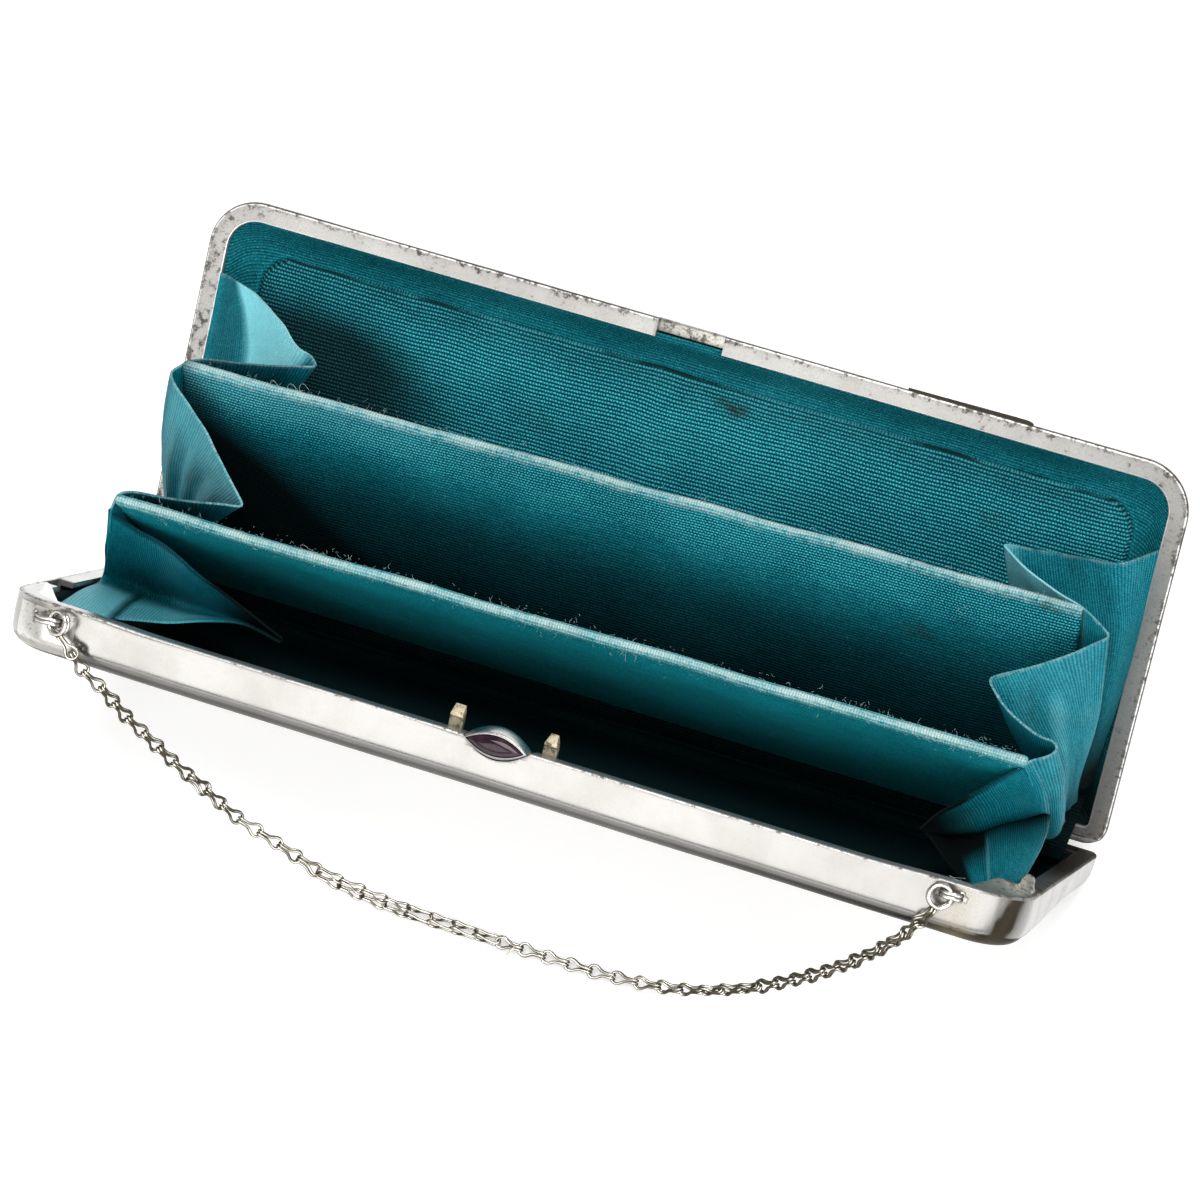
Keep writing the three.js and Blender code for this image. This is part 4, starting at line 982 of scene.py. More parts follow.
# ---- folded silk gussets ------------------------------------------------------
# Each line runs from the free top edge down to the hinge: (x, distance from the
# hinge, degrees up from the front half's rim). fold marks a pressed fold.
LEFT_LINES = [
    {"at": "lid", "line": [(-79.4, 50.0, 83.0), (-79.0, 30, 82.4), (-77.6, 4.6, 79)]},
    {"at": "soft", "line": [(-77.5, 50.1, 81.6), (-77.2, 40, 80.8), (-77.0, 28, 79), (-76.9, 4.6, 75)]},
    {"at": "ridge", "line": [(-75.2, 50.1, 79.7), (-72.3, 46, 77.2), (-70.4, 40, 75.8), (-71.5, 28, 74.5), (-76.2, 4.6, 72)]},
    {"at": "bright", "line": [(-71.6, 50.0, 76.8), (-68.8, 44, 74.0), (-67.8, 38, 72.6), (-70.4, 26, 71.5), (-75.9, 4.6, 70)]},
    {"at": "bright", "line": [(-67.0, 50.0, 71.6), (-65.6, 44, 69.4), (-65.6, 38, 68.6), (-69.2, 26, 68.5), (-75.6, 4.6, 67)]},
    {"at": "bright", "line": [(-62.5, 50.0, 66.2), (-62.6, 43, 65.0), (-63.6, 36, 64.6), (-68.2, 25, 65.0), (-75.2, 4.6, 65)]},
    {"at": "bright", "line": [(-59.4, 50.0, 61.9), (-60.8, 43, 61.8), (-62.4, 36, 61.8), (-67.6, 25, 62.5), (-75.0, 4.6, 63)]},
    {"at": "curl", "line": [(-57.4, 50.2, 60.2), (-59.8, 43, 60.4), (-62.0, 35, 60.6), (-67.4, 25, 61.2), (-74.8, 4.6, 61.5)]},
    {"at": "curl", "line": [(-55.4, 50.2, 59.4), (-58.6, 43, 59.6), (-61.8, 34, 59.8), (-67.6, 24, 60.4), (-74.7, 4.6, 60.6)]},
    {"at": "tip", "line": [(-53.8, 49.6, 57.6), (-57.5, 42, 58.2), (-61.8, 33, 59.0), (-68.0, 22, 59.8), (-74.6, 4.6, 60)], "fold": True},
    {"at": "back", "line": [(-62.4, 50.0, 53.0), (-67.8, 30, 54.5), (-75.2, 4.6, 55)]},
    {"at": "rear_panel", "line": [(-71.4, 51.6, 48.0), (-73.2, 30, 48.2), (-76.0, 4.6, 48)]},
    {"at": "out", "line": [(-73.7, 51.0, 44.6), (-75.4, 42, 44.2), (-76.6, 28, 43.4), (-77.2, 4.6, 42)], "fold": True},
    {"at": "near", "line": [(-71.6, 50.3, 42.3), (-74.0, 38, 41.0), (-75.8, 24, 40.0), (-76.6, 4.6, 39)]},
    {"at": "mid", "line": [(-65.9, 48.5, 37.5), (-70.6, 34, 37.0), (-75.6, 4.6, 36)]},
    {"at": "low", "line": [(-59.7, 47.7, 30.5), (-66.4, 32, 32.0), (-75.0, 4.6, 33)]},
    {"at": "tip", "line": [(-54.7, 47.0, 24.8), (-63.0, 30, 27.5), (-74.6, 4.6, 30)], "fold": True},
    {"at": "back", "line": [(-63.8, 49.5, 21.8), (-68.2, 30, 23.5), (-75.2, 4.6, 26)]},
    {"at": "front_panel", "line": [(-72.6, 51.8, 19.4), (-74.0, 30, 19.6), (-76.0, 4.6, 20)]},
    {"at": "out", "line": [(-73.4, 51.5, 16.4), (-75.3, 42, 11.0), (-77.8, 31, 3.6)]},
]
LEFT_FRONT_LINES = [
    {"at": "skirt", "line": [(-74.0, 50.5, 16.4), (-75.6, 42, 10.6), (-78.5, 30, 0.2), (-77.9, 45, -2.4), (-77.0, 56, -3.4)]},
    {"at": "side", "line": [(-73.8, 50.5, 16.2), (-75.2, 42.0, 10.7), (-77.9, 31.0, 1.4), (-76.2, 46.5, 0.6), (-74.8, 58.0, -0.3)]},
    {"at": "corner", "line": [(-73.4, 49.2, 15.8), (-74.9, 39.0, 11.4), (-76.8, 27.0, 0.6), (-73.1, 45.0, 0.0), (-70.4, 58.0, -0.5)]},
    {"at": "crease", "line": [(-71.3, 45.0, 15.2), (-72.6, 33.0, 9.0), (-73.4, 22.0, -2.9), (-69.1, 41.0, -0.9), (-65.5, 57.5, -0.3)], "fold": True},
    {"at": "wide", "line": [(-66.6, 43.0, 13.6), (-66.8, 34.0, 7.5), (-65.6, 27.0, -0.7), (-62.1, 42.0, 0.3), (-59.2, 55.0, 1.0)]},
    {"at": "slope", "line": [(-58.7, 43.5, 9.8), (-58.6, 37.0, 5.5), (-57.4, 33.5, 1.4), (-55.3, 43.0, 2.0), (-53.5, 51.0, 2.6)]},
    {"at": "narrow", "line": [(-50.6, 45.0, 6.4), (-50.8, 42.0, 4.5), (-50.4, 40.5, 3.1), (-49.4, 44.5, 3.4), (-48.7, 48.0, 3.6)]},
    {"at": "tip", "line": [(-42.5, 46.0, 2.8), (-42.5, 45.8, 2.6), (-42.6, 45.6, 2.3), (-42.6, 46.0, 2.2), (-42.6, 46.4, 2.1)]},
]
RIGHT_LINES = [
    {"at": "lid", "line": [(79.2, 49.3, 83.6), (79.4, 30, 82.4), (78.0, 10, 79)]},
    {"at": "crease", "line": [(74.1, 48.5, 71.8), (77.2, 36, 74.0), (77.6, 24, 72), (77.2, 10, 70)]},
    {"at": "mid", "line": [(66.2, 48.5, 69.9), (70.2, 34, 71.0), (76.4, 10, 68)]},
    {"at": "tip", "line": [(57.6, 48.5, 67.4), (60.0, 40, 68.0), (68.0, 24, 67), (75.8, 10, 66)], "fold": True},
    {"at": "face", "line": [(62.4, 49.2, 60.9), (64.6, 40, 62.6), (70.4, 24, 62), (76.2, 10, 61)]},
    {"at": "face", "line": [(69.6, 50.3, 54.9), (70.8, 40, 57.0), (73.6, 24, 57), (76.8, 10, 56)]},
    {"at": "rear_panel", "line": [(74.6, 51.5, 51.6), (75.4, 40, 52.0), (76.6, 24, 52), (77.4, 10, 51)]},
    {"at": "out", "line": [(79.6, 49.8, 49.0), (79.7, 40, 48.2), (79.5, 31, 46.8), (78.0, 19, 45.4), (77.0, 11, 40)], "fold": True},
    {"at": "leaf", "line": [(73.4, 49.0, 41.6), (76.0, 40, 41.2), (77.4, 28, 41), (77.0, 11, 37)]},
    {"at": "leaf", "line": [(68.8, 48.4, 37.9), (72.6, 38, 36.4), (75.8, 26, 36.5), (76.4, 11, 34.5)]},
    {"at": "tip", "line": [(64.4, 48.0, 34.4), (69.1, 36, 30.6), (73.4, 22, 31), (75.8, 11, 32)], "fold": True},
    {"at": "face", "line": [(67.9, 48.6, 30.2), (70.8, 38, 28.6), (74.2, 24, 28.6), (76.4, 11, 29)]},
    {"at": "face", "line": [(72.1, 49.3, 27.2), (73.2, 38, 26.4), (75.4, 24, 26.4), (76.8, 11, 27)]},
    {"at": "neck", "line": [(75.3, 50.3, 25.6), (75.8, 40, 24.8), (76.8, 26, 24.0), (77.2, 12, 24)]},
    {"at": "loop", "line": [(77.4, 51.0, 25.5), (78.2, 42, 24.2), (78.6, 30, 21.0), (77.8, 18, 17)]},
    {"at": "loop", "line": [(78.5, 51.3, 24.4), (79.4, 43, 22.4), (79.2, 30, 17.6), (77.8, 18, 13)]},
    {"at": "loop", "line": [(78.1, 51.5, 22.9), (79.0, 42, 20.2), (78.8, 31, 16.2), (77.2, 18, 10)]},
    {"at": "edge", "line": [(75.2, 52.0, 20.6), (77.1, 42, 18.6), (77.3, 31, 15.6), (76.4, 19, 8.5)], "fold": True},
    {"at": "tuck", "line": [(74.6, 51.4, 19.6), (75.8, 42, 17.6), (75.6, 31, 14.6), (75.4, 20, 8.0)]},
]
RIGHT_FLAP_LINES = [
    {"at": "tip", "line": [(61.5, 46.0, 3.9), (61.6, 45.7, 3.7), (61.7, 45.4, 3.5), (61.6, 44.0, 3.4), (62.4, 45.0, 3.2), (63.4, 46.5, 3.1)]},
    {"at": "narrow", "line": [(63.2, 44.5, 7.7), (63.7, 40.0, 5.5), (64.6, 37.0, 2.9), (63.3, 31.0, 3.1), (68.4, 46.0, 0.4), (72.6, 55.0, -1.6)]},
    {"at": "inner", "line": [(65.1, 43.0, 10.3), (66.2, 38.0, 8.0), (67.4, 34.0, 4.7), (66.0, 28.0, 6.0), (70.5, 44.0, 1.8), (74.0, 54.0, -1.2)]},
    {"at": "fold", "line": [(66.3, 42.5, 12.2), (67.7, 37.0, 10.0), (69.0, 33.0, 6.1), (67.9, 27.0, 7.8), (72.7, 47.0, 3.3), (75.2, 54.0, -0.6)], "fold": True},
    {"at": "mid", "line": [(68.6, 43.0, 15.6), (70.2, 38.0, 13.4), (71.4, 32.0, 9.3), (70.0, 26.0, 12.1), (74.5, 46.0, 4.7), (77.0, 53.5, -0.4)]},
    {"at": "wide", "line": [(71.2, 46.0, 18.0), (73.0, 40.0, 16.1), (74.4, 33.0, 12.2), (73.2, 28.0, 15.4), (77.0, 45.0, 6.2), (78.2, 52.5, -0.2)]},
    {"at": "edge", "line": [(74.6, 51.5, 20.1), (76.6, 45.0, 18.6), (77.4, 36.0, 15.0), (76.8, 33.0, 16.6), (79.2, 42.0, 8.8), (79.0, 50.0, 0.5)]},
    {"at": "end", "line": [(75.0, 51.5, 20.3), (77.0, 44.0, 18.6), (77.8, 34.0, 15.4), (77.4, 31.0, 15.8), (78.8, 38.0, 9.0), (78.4, 47.0, -1.5)]},
]


def bellows(name, lines, rows, wrinkles, spacing=0.75, seed=1, thickness=0.34, edge_wear=(True, False), slack=0.12, worn_folds=True, painted_light_shade=None):
    """Silk between the lines, smooth from one to the next except at pressed folds."""
    cols = np.stack([spline(np.array([on_leaf(*p) for p in c["line"]]), rows) for c in lines])
    breaks = [0] + [k for k, c in enumerate(lines) if c.get("fold") and 0 < k < len(lines) - 1] + [len(lines) - 1]
    sheets, place, fold_at = [], [], []
    for a, b in zip(breaks[:-1], breaks[1:]):
        span = cols[a : b + 1]
        length = np.linalg.norm(np.diff(span[:, 0], axis=0), axis=1).sum()
        n = max(6, int(length / spacing))
        at = np.linspace(0, 1, n)
        at = 0.7 * at + 0.3 * (0.5 - 0.5 * np.cos(math.pi * at))
        index = at * (b - a)
        made = np.stack([spline(span[:, j], at=np.interp(index, np.arange(b - a + 1), knots_of(span[:, j]))) for j in range(rows)], 1)
        keep = slice(0 if a == 0 else 1, None)
        sheets.append(made[keep])
        place.append((a + at * (b - a))[keep])
        fold_at.append(breaks.index(b))
    grid = np.concatenate(sheets)
    where = np.concatenate(place)
    for _ in range(2):
        grid[1:-1] = 0.5 * grid[1:-1] + 0.25 * (grid[:-2] + grid[2:])
    n = len(grid)
    t = np.linspace(1, 0, rows)
    normal = np.cross(np.gradient(grid, axis=0), np.gradient(grid, axis=1))
    normal /= np.maximum(np.linalg.norm(normal, axis=2, keepdims=True), 1e-9)
    push = np.zeros((n, rows))
    for w in wrinkles:
        centre = w["at"] + w.get("lean", 0) * (1 - t)
        d = (where[:, None] - centre[None]) / w["width"]
        fade = smoothstep(w.get("from", -0.2), w.get("from", -0.2) + 0.25, t) * (1 - smoothstep(w.get("to", 1.2) - 0.25, w.get("to", 1.2), t))
        push += w["deep"] * np.exp(-d * d) * fade[None]
    push += slack * wobble(grid / 9.0, 1, seed) * smoothstep(0.0, 0.2, t)[None]
    calm = np.minimum(1, np.min(np.abs(where[:, None] - np.array(breaks, float)[None]), axis=1) / 0.25)
    grid = grid + normal * (push * (0.25 + 0.75 * calm[:, None]))[..., None]
    # cloth coordinates by distance over the sheet
    across = np.concatenate([[0], np.cumsum(np.linalg.norm(np.diff(grid[:, rows // 4], axis=0), axis=1))])
    down = np.cumsum(np.concatenate([np.zeros((n, 1)), np.linalg.norm(np.diff(grid, axis=1), axis=2)], 1), 1)
    uv = np.stack([down, np.broadcast_to(across[:, None], down.shape)], -1)
    wear = np.zeros((n, rows))
    if edge_wear[0]:
        wear = np.maximum(wear, 0.5 * (1 - smoothstep(0.1, 0.6, down)))
    if edge_wear[1]:
        wear = np.maximum(wear, 0.4 * (1 - smoothstep(0.1, 0.55, down[:, -1:] - down)))
    for k in breaks[1:-1]:
        if not worn_folds:
            continue
        j = int(np.argmin(np.abs(where - k)))
        d = np.linalg.norm(grid - grid[j][None], axis=2)
        wear = np.maximum(wear, 0.3 * (1 - smoothstep(0.15, 0.6, d)))
    far = np.linalg.norm(grid[..., 1:] - [HINGE_Y, HINGE_Z], axis=2)
    # painted shade towards the hinge and in wrinkle hollows, painted light on wrinkle ridges, plus the painted light
    # and shade given for each gusset
    soil = 0.8 * (1 - smoothstep(6, 30, far)) + 0.6 * np.clip(-push - 0.06, 0, 1)
    pale = 0.45 * np.clip(push - 0.06, 0, 1)
    if painted_light_shade is not None:
        more_painted_light, more_painted_shade = painted_light_shade(np.broadcast_to(where[:, None], soil.shape), np.broadcast_to(t[None], soil.shape))
        pale, soil = pale + more_painted_light, soil + more_painted_shade
    pale, soil = np.clip(pale * (1 - smoothstep(0.5, 0.95, soil)), 0, 1), np.clip(soil, 0, 1)
    ob = Build().add(grid.reshape(-1, 3), grid_faces(n, rows), cloth=uv.reshape(-1, 2), wear=wear.ravel(), stain=np.zeros(n * rows), soil=soil.ravel(), pale=pale.ravel()).object(name, SILK_GUSSET, 62, normals=False)
    area = float(sum(p.area for p in ob.data.polygons))
    thicken(ob, thickness, 0.0, 62)
    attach(ob, "root"), ob
    return ob, area


left_wrinkles = [
    {"at": 13.6, "width": 0.16, "deep": -0.7, "to": 0.94, "lean": -0.35},
    {"at": 14.1, "width": 0.16, "deep": 0.55, "to": 0.94, "lean": -0.4},
    {"at": 14.55, "width": 0.15, "deep": -0.7, "to": 0.9, "lean": -0.45},
    {"at": 14.95, "width": 0.16, "deep": 0.5, "to": 0.92, "lean": -0.45},
    {"at": 15.4, "width": 0.16, "deep": -0.45, "to": 0.86, "lean": -0.45},
]
right_wrinkles = [
    {"at": 8.5, "width": 0.45, "deep": -0.3, "lean": 0.7, "from": 0.2, "to": 0.75}, {"at": 9.2, "width": 0.28, "deep": 0.26, "lean": -0.5, "from": 0.3, "to": 0.85},
    {"at": 7.7, "width": 0.22, "deep": -0.2, "lean": 0.4, "from": 0.0, "to": 0.6}, {"at": 1.6, "width": 0.3, "deep": -0.3, "lean": -0.4, "from": 0.45, "to": 1.2},
    {"at": 1.2, "width": 0.3, "deep": -0.5, "from": 0.1},
    {"at": 8.2, "width": 0.35, "deep": 0.6, "lean": 1.2, "to": 0.95},
    {"at": 8.9, "width": 0.35, "deep": -0.5, "lean": 1.0, "to": 0.95},
]


# painted light on the left gusset's lit leaves and painted shade on its shaded strips
def left_painted_light_shade(w, t):
    lit = smoothstep(1.85, 2.15, w) * (1 - smoothstep(7.2, 8.2, w)) * smoothstep(0.2, 0.7, t)
    mid = smoothstep(12.2, 13, w) * (1 - smoothstep(15.8, 16.4, w)) * smoothstep(0.35, 0.8, t)
    shade = 0.35 * smoothstep(0.2, 1.0, w) * (1 - smoothstep(1.6, 1.95, w)) + 0.5 * smoothstep(9.1, 9.7, w) * (1 - smoothstep(10.6, 11.2, w)) + 0.45 * smoothstep(16.1, 16.8, w) * (1 - smoothstep(17.6, 18.2, w))
    return 0.95 * lit + 0.22 * mid, shade


# painted light on the left front flap; painted shade along its crease, towards its tip and in the gap along its top
# edge
def left_front_painted_light_shade(w, t):
    flap = (1 - smoothstep(0.36, 0.46, t)) * (1 - smoothstep(3.6, 5.8, w))
    crease = np.exp(-(((w - 3.0) / 0.045) ** 2)) * (1 - smoothstep(0.4, 0.5, t))
    light = flap * (0.56 - 0.3 * smoothstep(2.9, 3.1, w))
    return light, 0.85 * crease + 0.96 * smoothstep(4.7, 6.4, w) + 0.7 * smoothstep(0.965, 0.99, t)


# painted light on the right gusset's lit leaves and painted shade on its shaded strips
def right_painted_light_shade(w, t):
    lit = smoothstep(2.6, 3.2, w) * (1 - smoothstep(5.4, 6.2, w)) * smoothstep(0.45, 0.95, t)
    leaf = smoothstep(7.0, 7.6, w) * (1 - smoothstep(9.4, 10.0, w)) * smoothstep(0.4, 0.9, t)
    loop = smoothstep(13.2, 14.2, w) * (1 - smoothstep(16.4, 17.2, w)) * smoothstep(0.5, 0.95, t)
    shade = 0.35 * (1 - smoothstep(0.8, 2.2, w)) * (1 - smoothstep(0.5, 1.0, t)) + 0.3 * smoothstep(1.4, 1.8, w) * (1 - smoothstep(2.4, 2.9, w))
    return 0.9 * lit + 0.06 * leaf + 0.03 * loop, shade


# painted shade over the right front leaf towards its tip, on the flaps, in the fold between them and in the gap along
# the top edge; a painted highlight line on a flap fold
def right_front_painted_light_shade(w, t):
    leaf, flap = smoothstep(0.46, 0.56, t), 1 - smoothstep(0.34, 0.46, t)
    dark = leaf * (1.05 * (1 - smoothstep(0.2, 4.4, w)) + 0.45 * (1 - smoothstep(0.5, 0.8, t)))
    left = 1 - smoothstep(2.8, 2.96, w)
    dark = dark + flap * (left * (1 - smoothstep(1.2, 1.55, w)) + left * (0.25 + 0.5 * smoothstep(0.03, 0.28, t)) + 0.4 * (1 - left) + 0.45 * smoothstep(0.12, 0.42, t)) + 0.85 * np.exp(-(((t - 0.45) / 0.07) ** 2)) + 0.7 * smoothstep(0.965, 0.99, t)
    light = flap * 0.4 * np.exp(-(((w - 3.0) / 0.05) ** 2))
    return light, dark


gl, gl_area = bellows("gusset_left_silk", LEFT_LINES, 46, left_wrinkles, seed=11, painted_light_shade=left_painted_light_shade)
gf, gf_area = bellows("gusset_left_front_silk", LEFT_FRONT_LINES, 54, [{"at": 4.2, "width": 0.5, "deep": 0.25}], seed=12, edge_wear=(False, False), slack=0.1, worn_folds=False, painted_light_shade=left_front_painted_light_shade)
gr, gr_area = bellows("gusset_right_silk", RIGHT_LINES, 46, right_wrinkles, seed=13, painted_light_shade=right_painted_light_shade)
gb, gb_area = bellows("gusset_right_front_silk", RIGHT_FLAP_LINES, 60, [], seed=14, edge_wear=(False, False), slack=0.1, worn_folds=False, painted_light_shade=right_front_painted_light_shade)
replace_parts(gl, "gusset_left")
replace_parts(gr, "gusset_right")
for ob, area, length in ((gl, gl_area, 0.047), (gf, gf_area, 0.045), (gr, gr_area, 0.047), (gb, gb_area, 0.045)):
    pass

# ---- clasp, stone -------------------------------------------------------------
face = FRONT - 0.9
gold_worn = (0.5, 0.05, 0.8, 1.0)
clasp = Build()
bezel_rings = [
    navette(4.95, 2.2, FRONT + 1.5, 0.40),
    navette(5.4, 2.5, FRONT + 1.42, 0.43),
    navette(5.45, 2.53, FRONT + 1.25, 0.42),
    navette(5.36, 2.4, FRONT + 0.6, 0.36),
    navette(5.22, 2.18, FRONT - 0.2, 0.30),
    navette(5.08, 1.98, face + 0.14, 0.26),
    navette(5.03, 1.92, face + 0.03, 0.25),
    navette(4.96, 1.86, face, 0.25),
    navette(4.74, 1.6, face - 0.02, 0.20),
    navette(4.67, 1.54, face + 0.06, 0.19),
    navette(4.65, 1.52, face + 0.3, 0.19),
    navette(4.63, 1.5, face + 0.8, 0.19),
]
v, f = loft(bezel_rings)
under = smoothstep(0.3, -0.9, v[:, 2] - BEZEL_Z)
clasp.add(on_base(v), f, finish=np.stack([0.2 + 0.3 * under, 0.4 * under, 0 * under, 0.75 + 0.2 * under], 1))
clasp = clasp.object("clasp_bezel", SILVER, 34)
bar_near = FRONT + FLANGE + 0.6
bar_far = bar_near + 1.2
pieces = [
    rounded_box(on_base, CLASP_X - 2, CLASP_X + 2, FRONT + 1.0, bar_near + 0.5, -2.7, -1.3, 0.12, gold_worn, "arm", 2),
    rounded_box(on_base, CLASP_X - HOOK_SPAN / 2 - 0.9, CLASP_X + HOOK_SPAN / 2 + 0.9, bar_near, bar_far, -2.7, -1.3, 0.15, gold_worn, "bar", 2),
]
for end in (-1, 1):
    x = CLASP_X - 0.5 + end * HOOK_SPAN / 2
    shape = FRONT + 0.0, np.array([(3.8, -2.0), (5.0, -2.0), (5.0, 0.6), (5.0, 2.3), (4.96, 2.95), (4.78, 3.3), (4.5, 3.42), (4.2, 3.22), (3.3, 2.2), (3.12, 1.92), (3.16, 1.68), (3.4, 1.52), (3.8, 1.42), (3.8, 0.4)])
    shape = shape[1] + [shape[0], 0]
    shape[:, 1] -= (0.55 + 0.1 * end) * smoothstep(0.3, 1.4, shape[:, 1])
    mid = shape.mean(0)
    rings = []
    for dx, k in ((-1.1, 0.82), (-1.05, 0.93), (-0.92, 1.0), (0.0, 1.0), (0.92, 1.0), (1.05, 0.93), (1.1, 0.82)):
        p = mid + (shape - mid) * [k, 0.6 + 0.4 * k]
        narrow = 1 - (0.33 + 0.1 * end) * smoothstep(0.8, 2.9, p[:, 1])
        rings.append(np.column_stack([x + dx * narrow, p[:, 0], p[:, 1]]))
    v, f = loft(rings)
    up = smoothstep(0.9, 1.25, v[:, 2])
    finish = np.stack([np.ones(len(up)), 0.72 - 0.72 * up, 0.12 + 0.33 * up, 1.0 - 0.3 * up], 1)
    pieces.append(Build().add(on_base(v), f, finish=finish).object("hook", GILT, 30))
join(clasp, pieces)
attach(clasp, "clasp"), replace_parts(clasp, "clasp"), clasp

seat = face + 0.8 - GAP
dome = np.linspace(0, 1, 16)
rings = [navette(STONE_A - 0.5, STONE_C - 0.14, seat + 0.15, 0.19)]
for k in dome:
    share = math.sqrt(max(1 - (0.985 * k) ** 2.4, 0.0)) ** 0.9
    rings.append(navette((STONE_A - 0.5) * max(share, 0.02), (STONE_C - 0.14) * max(share, 0.02), seat - 0.1 - STONE_DOME * 0.86 * k, 0.19))
v, f = loft(rings)
stone = Build().add(on_base(v), f).object("navette_stone", STONE, 60)
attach(stone, "clasp"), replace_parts(stone, "cabochon"), stone

# ---- rings and chain ----------------------------------------------------------
CHAIN_ROUTE = np.array([
    (-71.7, -45.9, 48.4), (-70.5, -46.5, 49.0), (-68.4, -47.6, 46.5), (-66.8, -48.2, 43.9), (-64.6, -48.3, 42.0), (-62.5, -48.3, 38.6), (-60.8, -48.2, 35.0), (-58.2, -48.1, 31.8), (-55.7, -48.0, 28.2), (-53.8, -47.8, 25.3), (-51.5, -47.6, 22.2), (-49.0, -47.4, 19.3), (-46.1, -47.3, 15.6), (-43.4, -47.2, 12.8), (-40.0, -47.1, 10.7), (-36.6, -47, 8.4), (-33.4, -47, 6.0),
    (-30.2, -47, 4), (-18.6, -47.1, 1.5), (-7, -47.2, 1.32), (6, -47.3, 1.32), (18.6, -47.1, 1.32), (29.6, -47, 3.8),
    (40.2, -46.9, 10.0), (49.6, -47.2, 18.9), (55.9, -47.6, 26.4), (61.2, -48.0, 34.0), (65.4, -48.3, 41.0), (67.7, -47.8, 45.2), (69.3, -46.9, 47.9), (70.2, -45.9, 48.9),
]) + [0, HINGE_Y, 0]

RING_AT = {"left": (-72.1, FRONT - 1.55, -2.4), "right": (70.2, FRONT - 1.55, -2.3)}
for side, (x, y, z) in RING_AT.items():
    b = Build()
    lean = math.radians(24 if side == "left" else -24)
    across = np.array([math.cos(lean), -math.sin(lean), 0])
    axis = np.array([math.sin(lean), math.cos(lean), 0])
    for shift in (-0.3, 0.3):
        a = 2 * math.pi * np.arange(44) / 44
        path = np.array([x, y, z]) + axis * shift + 1.74 * (np.cos(a)[:, None] * across + np.sin(a + 0.1 * shift)[:, None] * np.array([0, 0, 1.0]))
        v, f = tube(path, 0.33, 14, closed=True)
        b.add(on_base(v), f, finish=painted_wire_highlight(v, path, WIRE_HIGHLIGHT_TOWARD_BASE, 0.16))
    made = b.object("jump_ring_" + side, CHAIN_SILVER, 60)
    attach(made, "root"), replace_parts(made, "ring_" + side), made


def link_path(length, width, lower=0.27, upper=0.62):
    """One folded link: two teardrop loops side by side, joined by bends at the narrow end.
    Columns are along the chain, across the loop and off its plane."""
    half = np.array([(0.0, 0.0), (0.012, 0.3), (0.05, 0.62), (0.13, 0.9), (0.25, 1.0), (0.37, 0.86), (0.5, 0.55), (0.62, 0.34), (0.78, 0.28), (1.0, 0.28)])
    half = spline(half * [length, width], 20)[::-1]  # from the narrow end to the round end, one side
    loop = np.concatenate([half, (half * [1, -1])[::-1][1:]])
    rise = lower + (upper - lower) * smoothstep(0.3, 1.0, loop[:, 0] / length)
    one = np.column_stack([loop, rise])
    bend = np.radians(np.linspace(90, -90, 9))[1:-1]
    bow = np.column_stack([length + 0.5 * np.cos(bend), np.full(7, -0.28 * width), upper * np.sin(bend)])
    back = one[::-1] * [1, 1, -1]
    bow2 = bow[::-1] * [1, -1, 1]
    path = np.concatenate([one, bow, back, bow2])
    path[:, 0] = length - path[:, 0]
    return path


route = spline(CHAIN_ROUTE, 1600)
dist = np.concatenate([[0], np.cumsum(np.linalg.norm(np.diff(route, axis=0), axis=1))])
total = dist[-1]
LINKS = 48
pitch = (total - 1.2) / LINKS
chain = Build()
to_eye = np.array([0.16, -0.58, 0.80])
for k in range(LINKS):
    length = pitch + 0.5
    start = 0.2 + k * pitch
    ends = np.array([start, start + length])
    p0, p1 = (np.array([np.interp(d, dist, route[:, c]) for c in range(3)]) for d in np.clip(ends, 0, total))
    share = start / total
    if share > 0.4:
        p0, p1 = p1, p0
    along = (p1 - p0) / np.linalg.norm(p1 - p0)
    twist = math.radians(8 * math.sin(k * 1.7) + 6 * math.sin(k * 0.63 + 1))
    twist += math.radians(58) * smoothstep(0.29, 0.33, share) * (1 - smoothstep(0.47, 0.51, share))
    twist += math.radians(34) * smoothstep(0.16, 0.18, share) * (1 - smoothstep(0.2, 0.22, share))
    twist += math.radians(55) * smoothstep(0.62, 0.68, share) * (1 - smoothstep(0.72, 0.78, share)) * (1 if k % 2 else 0.6)
    twist += math.radians(38) * smoothstep(0.8, 0.9, share) * (1 if k % 2 else -0.7)
    normal = to_eye - along * np.dot(to_eye, along)
    normal /= np.linalg.norm(normal)
    across = np.cross(normal, along)
    n2 = math.cos(twist) * normal + math.sin(twist) * across
    a2 = np.cross(n2, along)
    apart = smoothstep(0.28, 0.34, share) * (1 - smoothstep(0.44, 0.51, share)) + 0.4 * smoothstep(0.16, 0.18, share) * (1 - smoothstep(0.2, 0.22, share))
    shape = link_path(length - 0.5, 0.94 + 0.06 * math.sin(k * 2.3), 0.27 + 0.5 * apart, 0.6 + 0.3 * apart)
    shape[:, 0] += 0.5
    path = p0 + shape[:, :1] * along + shape[:, 1:2] * a2 + shape[:, 2:] * n2 * 0.85
    low = path[:, 2].min() - 0.25
    if low < 0.02:
        path[:, 2] += 0.02 - low
    v, f = tube(path, 0.205, 14, closed=True)
    chain.add(v, f, finish=painted_wire_highlight(v, path))
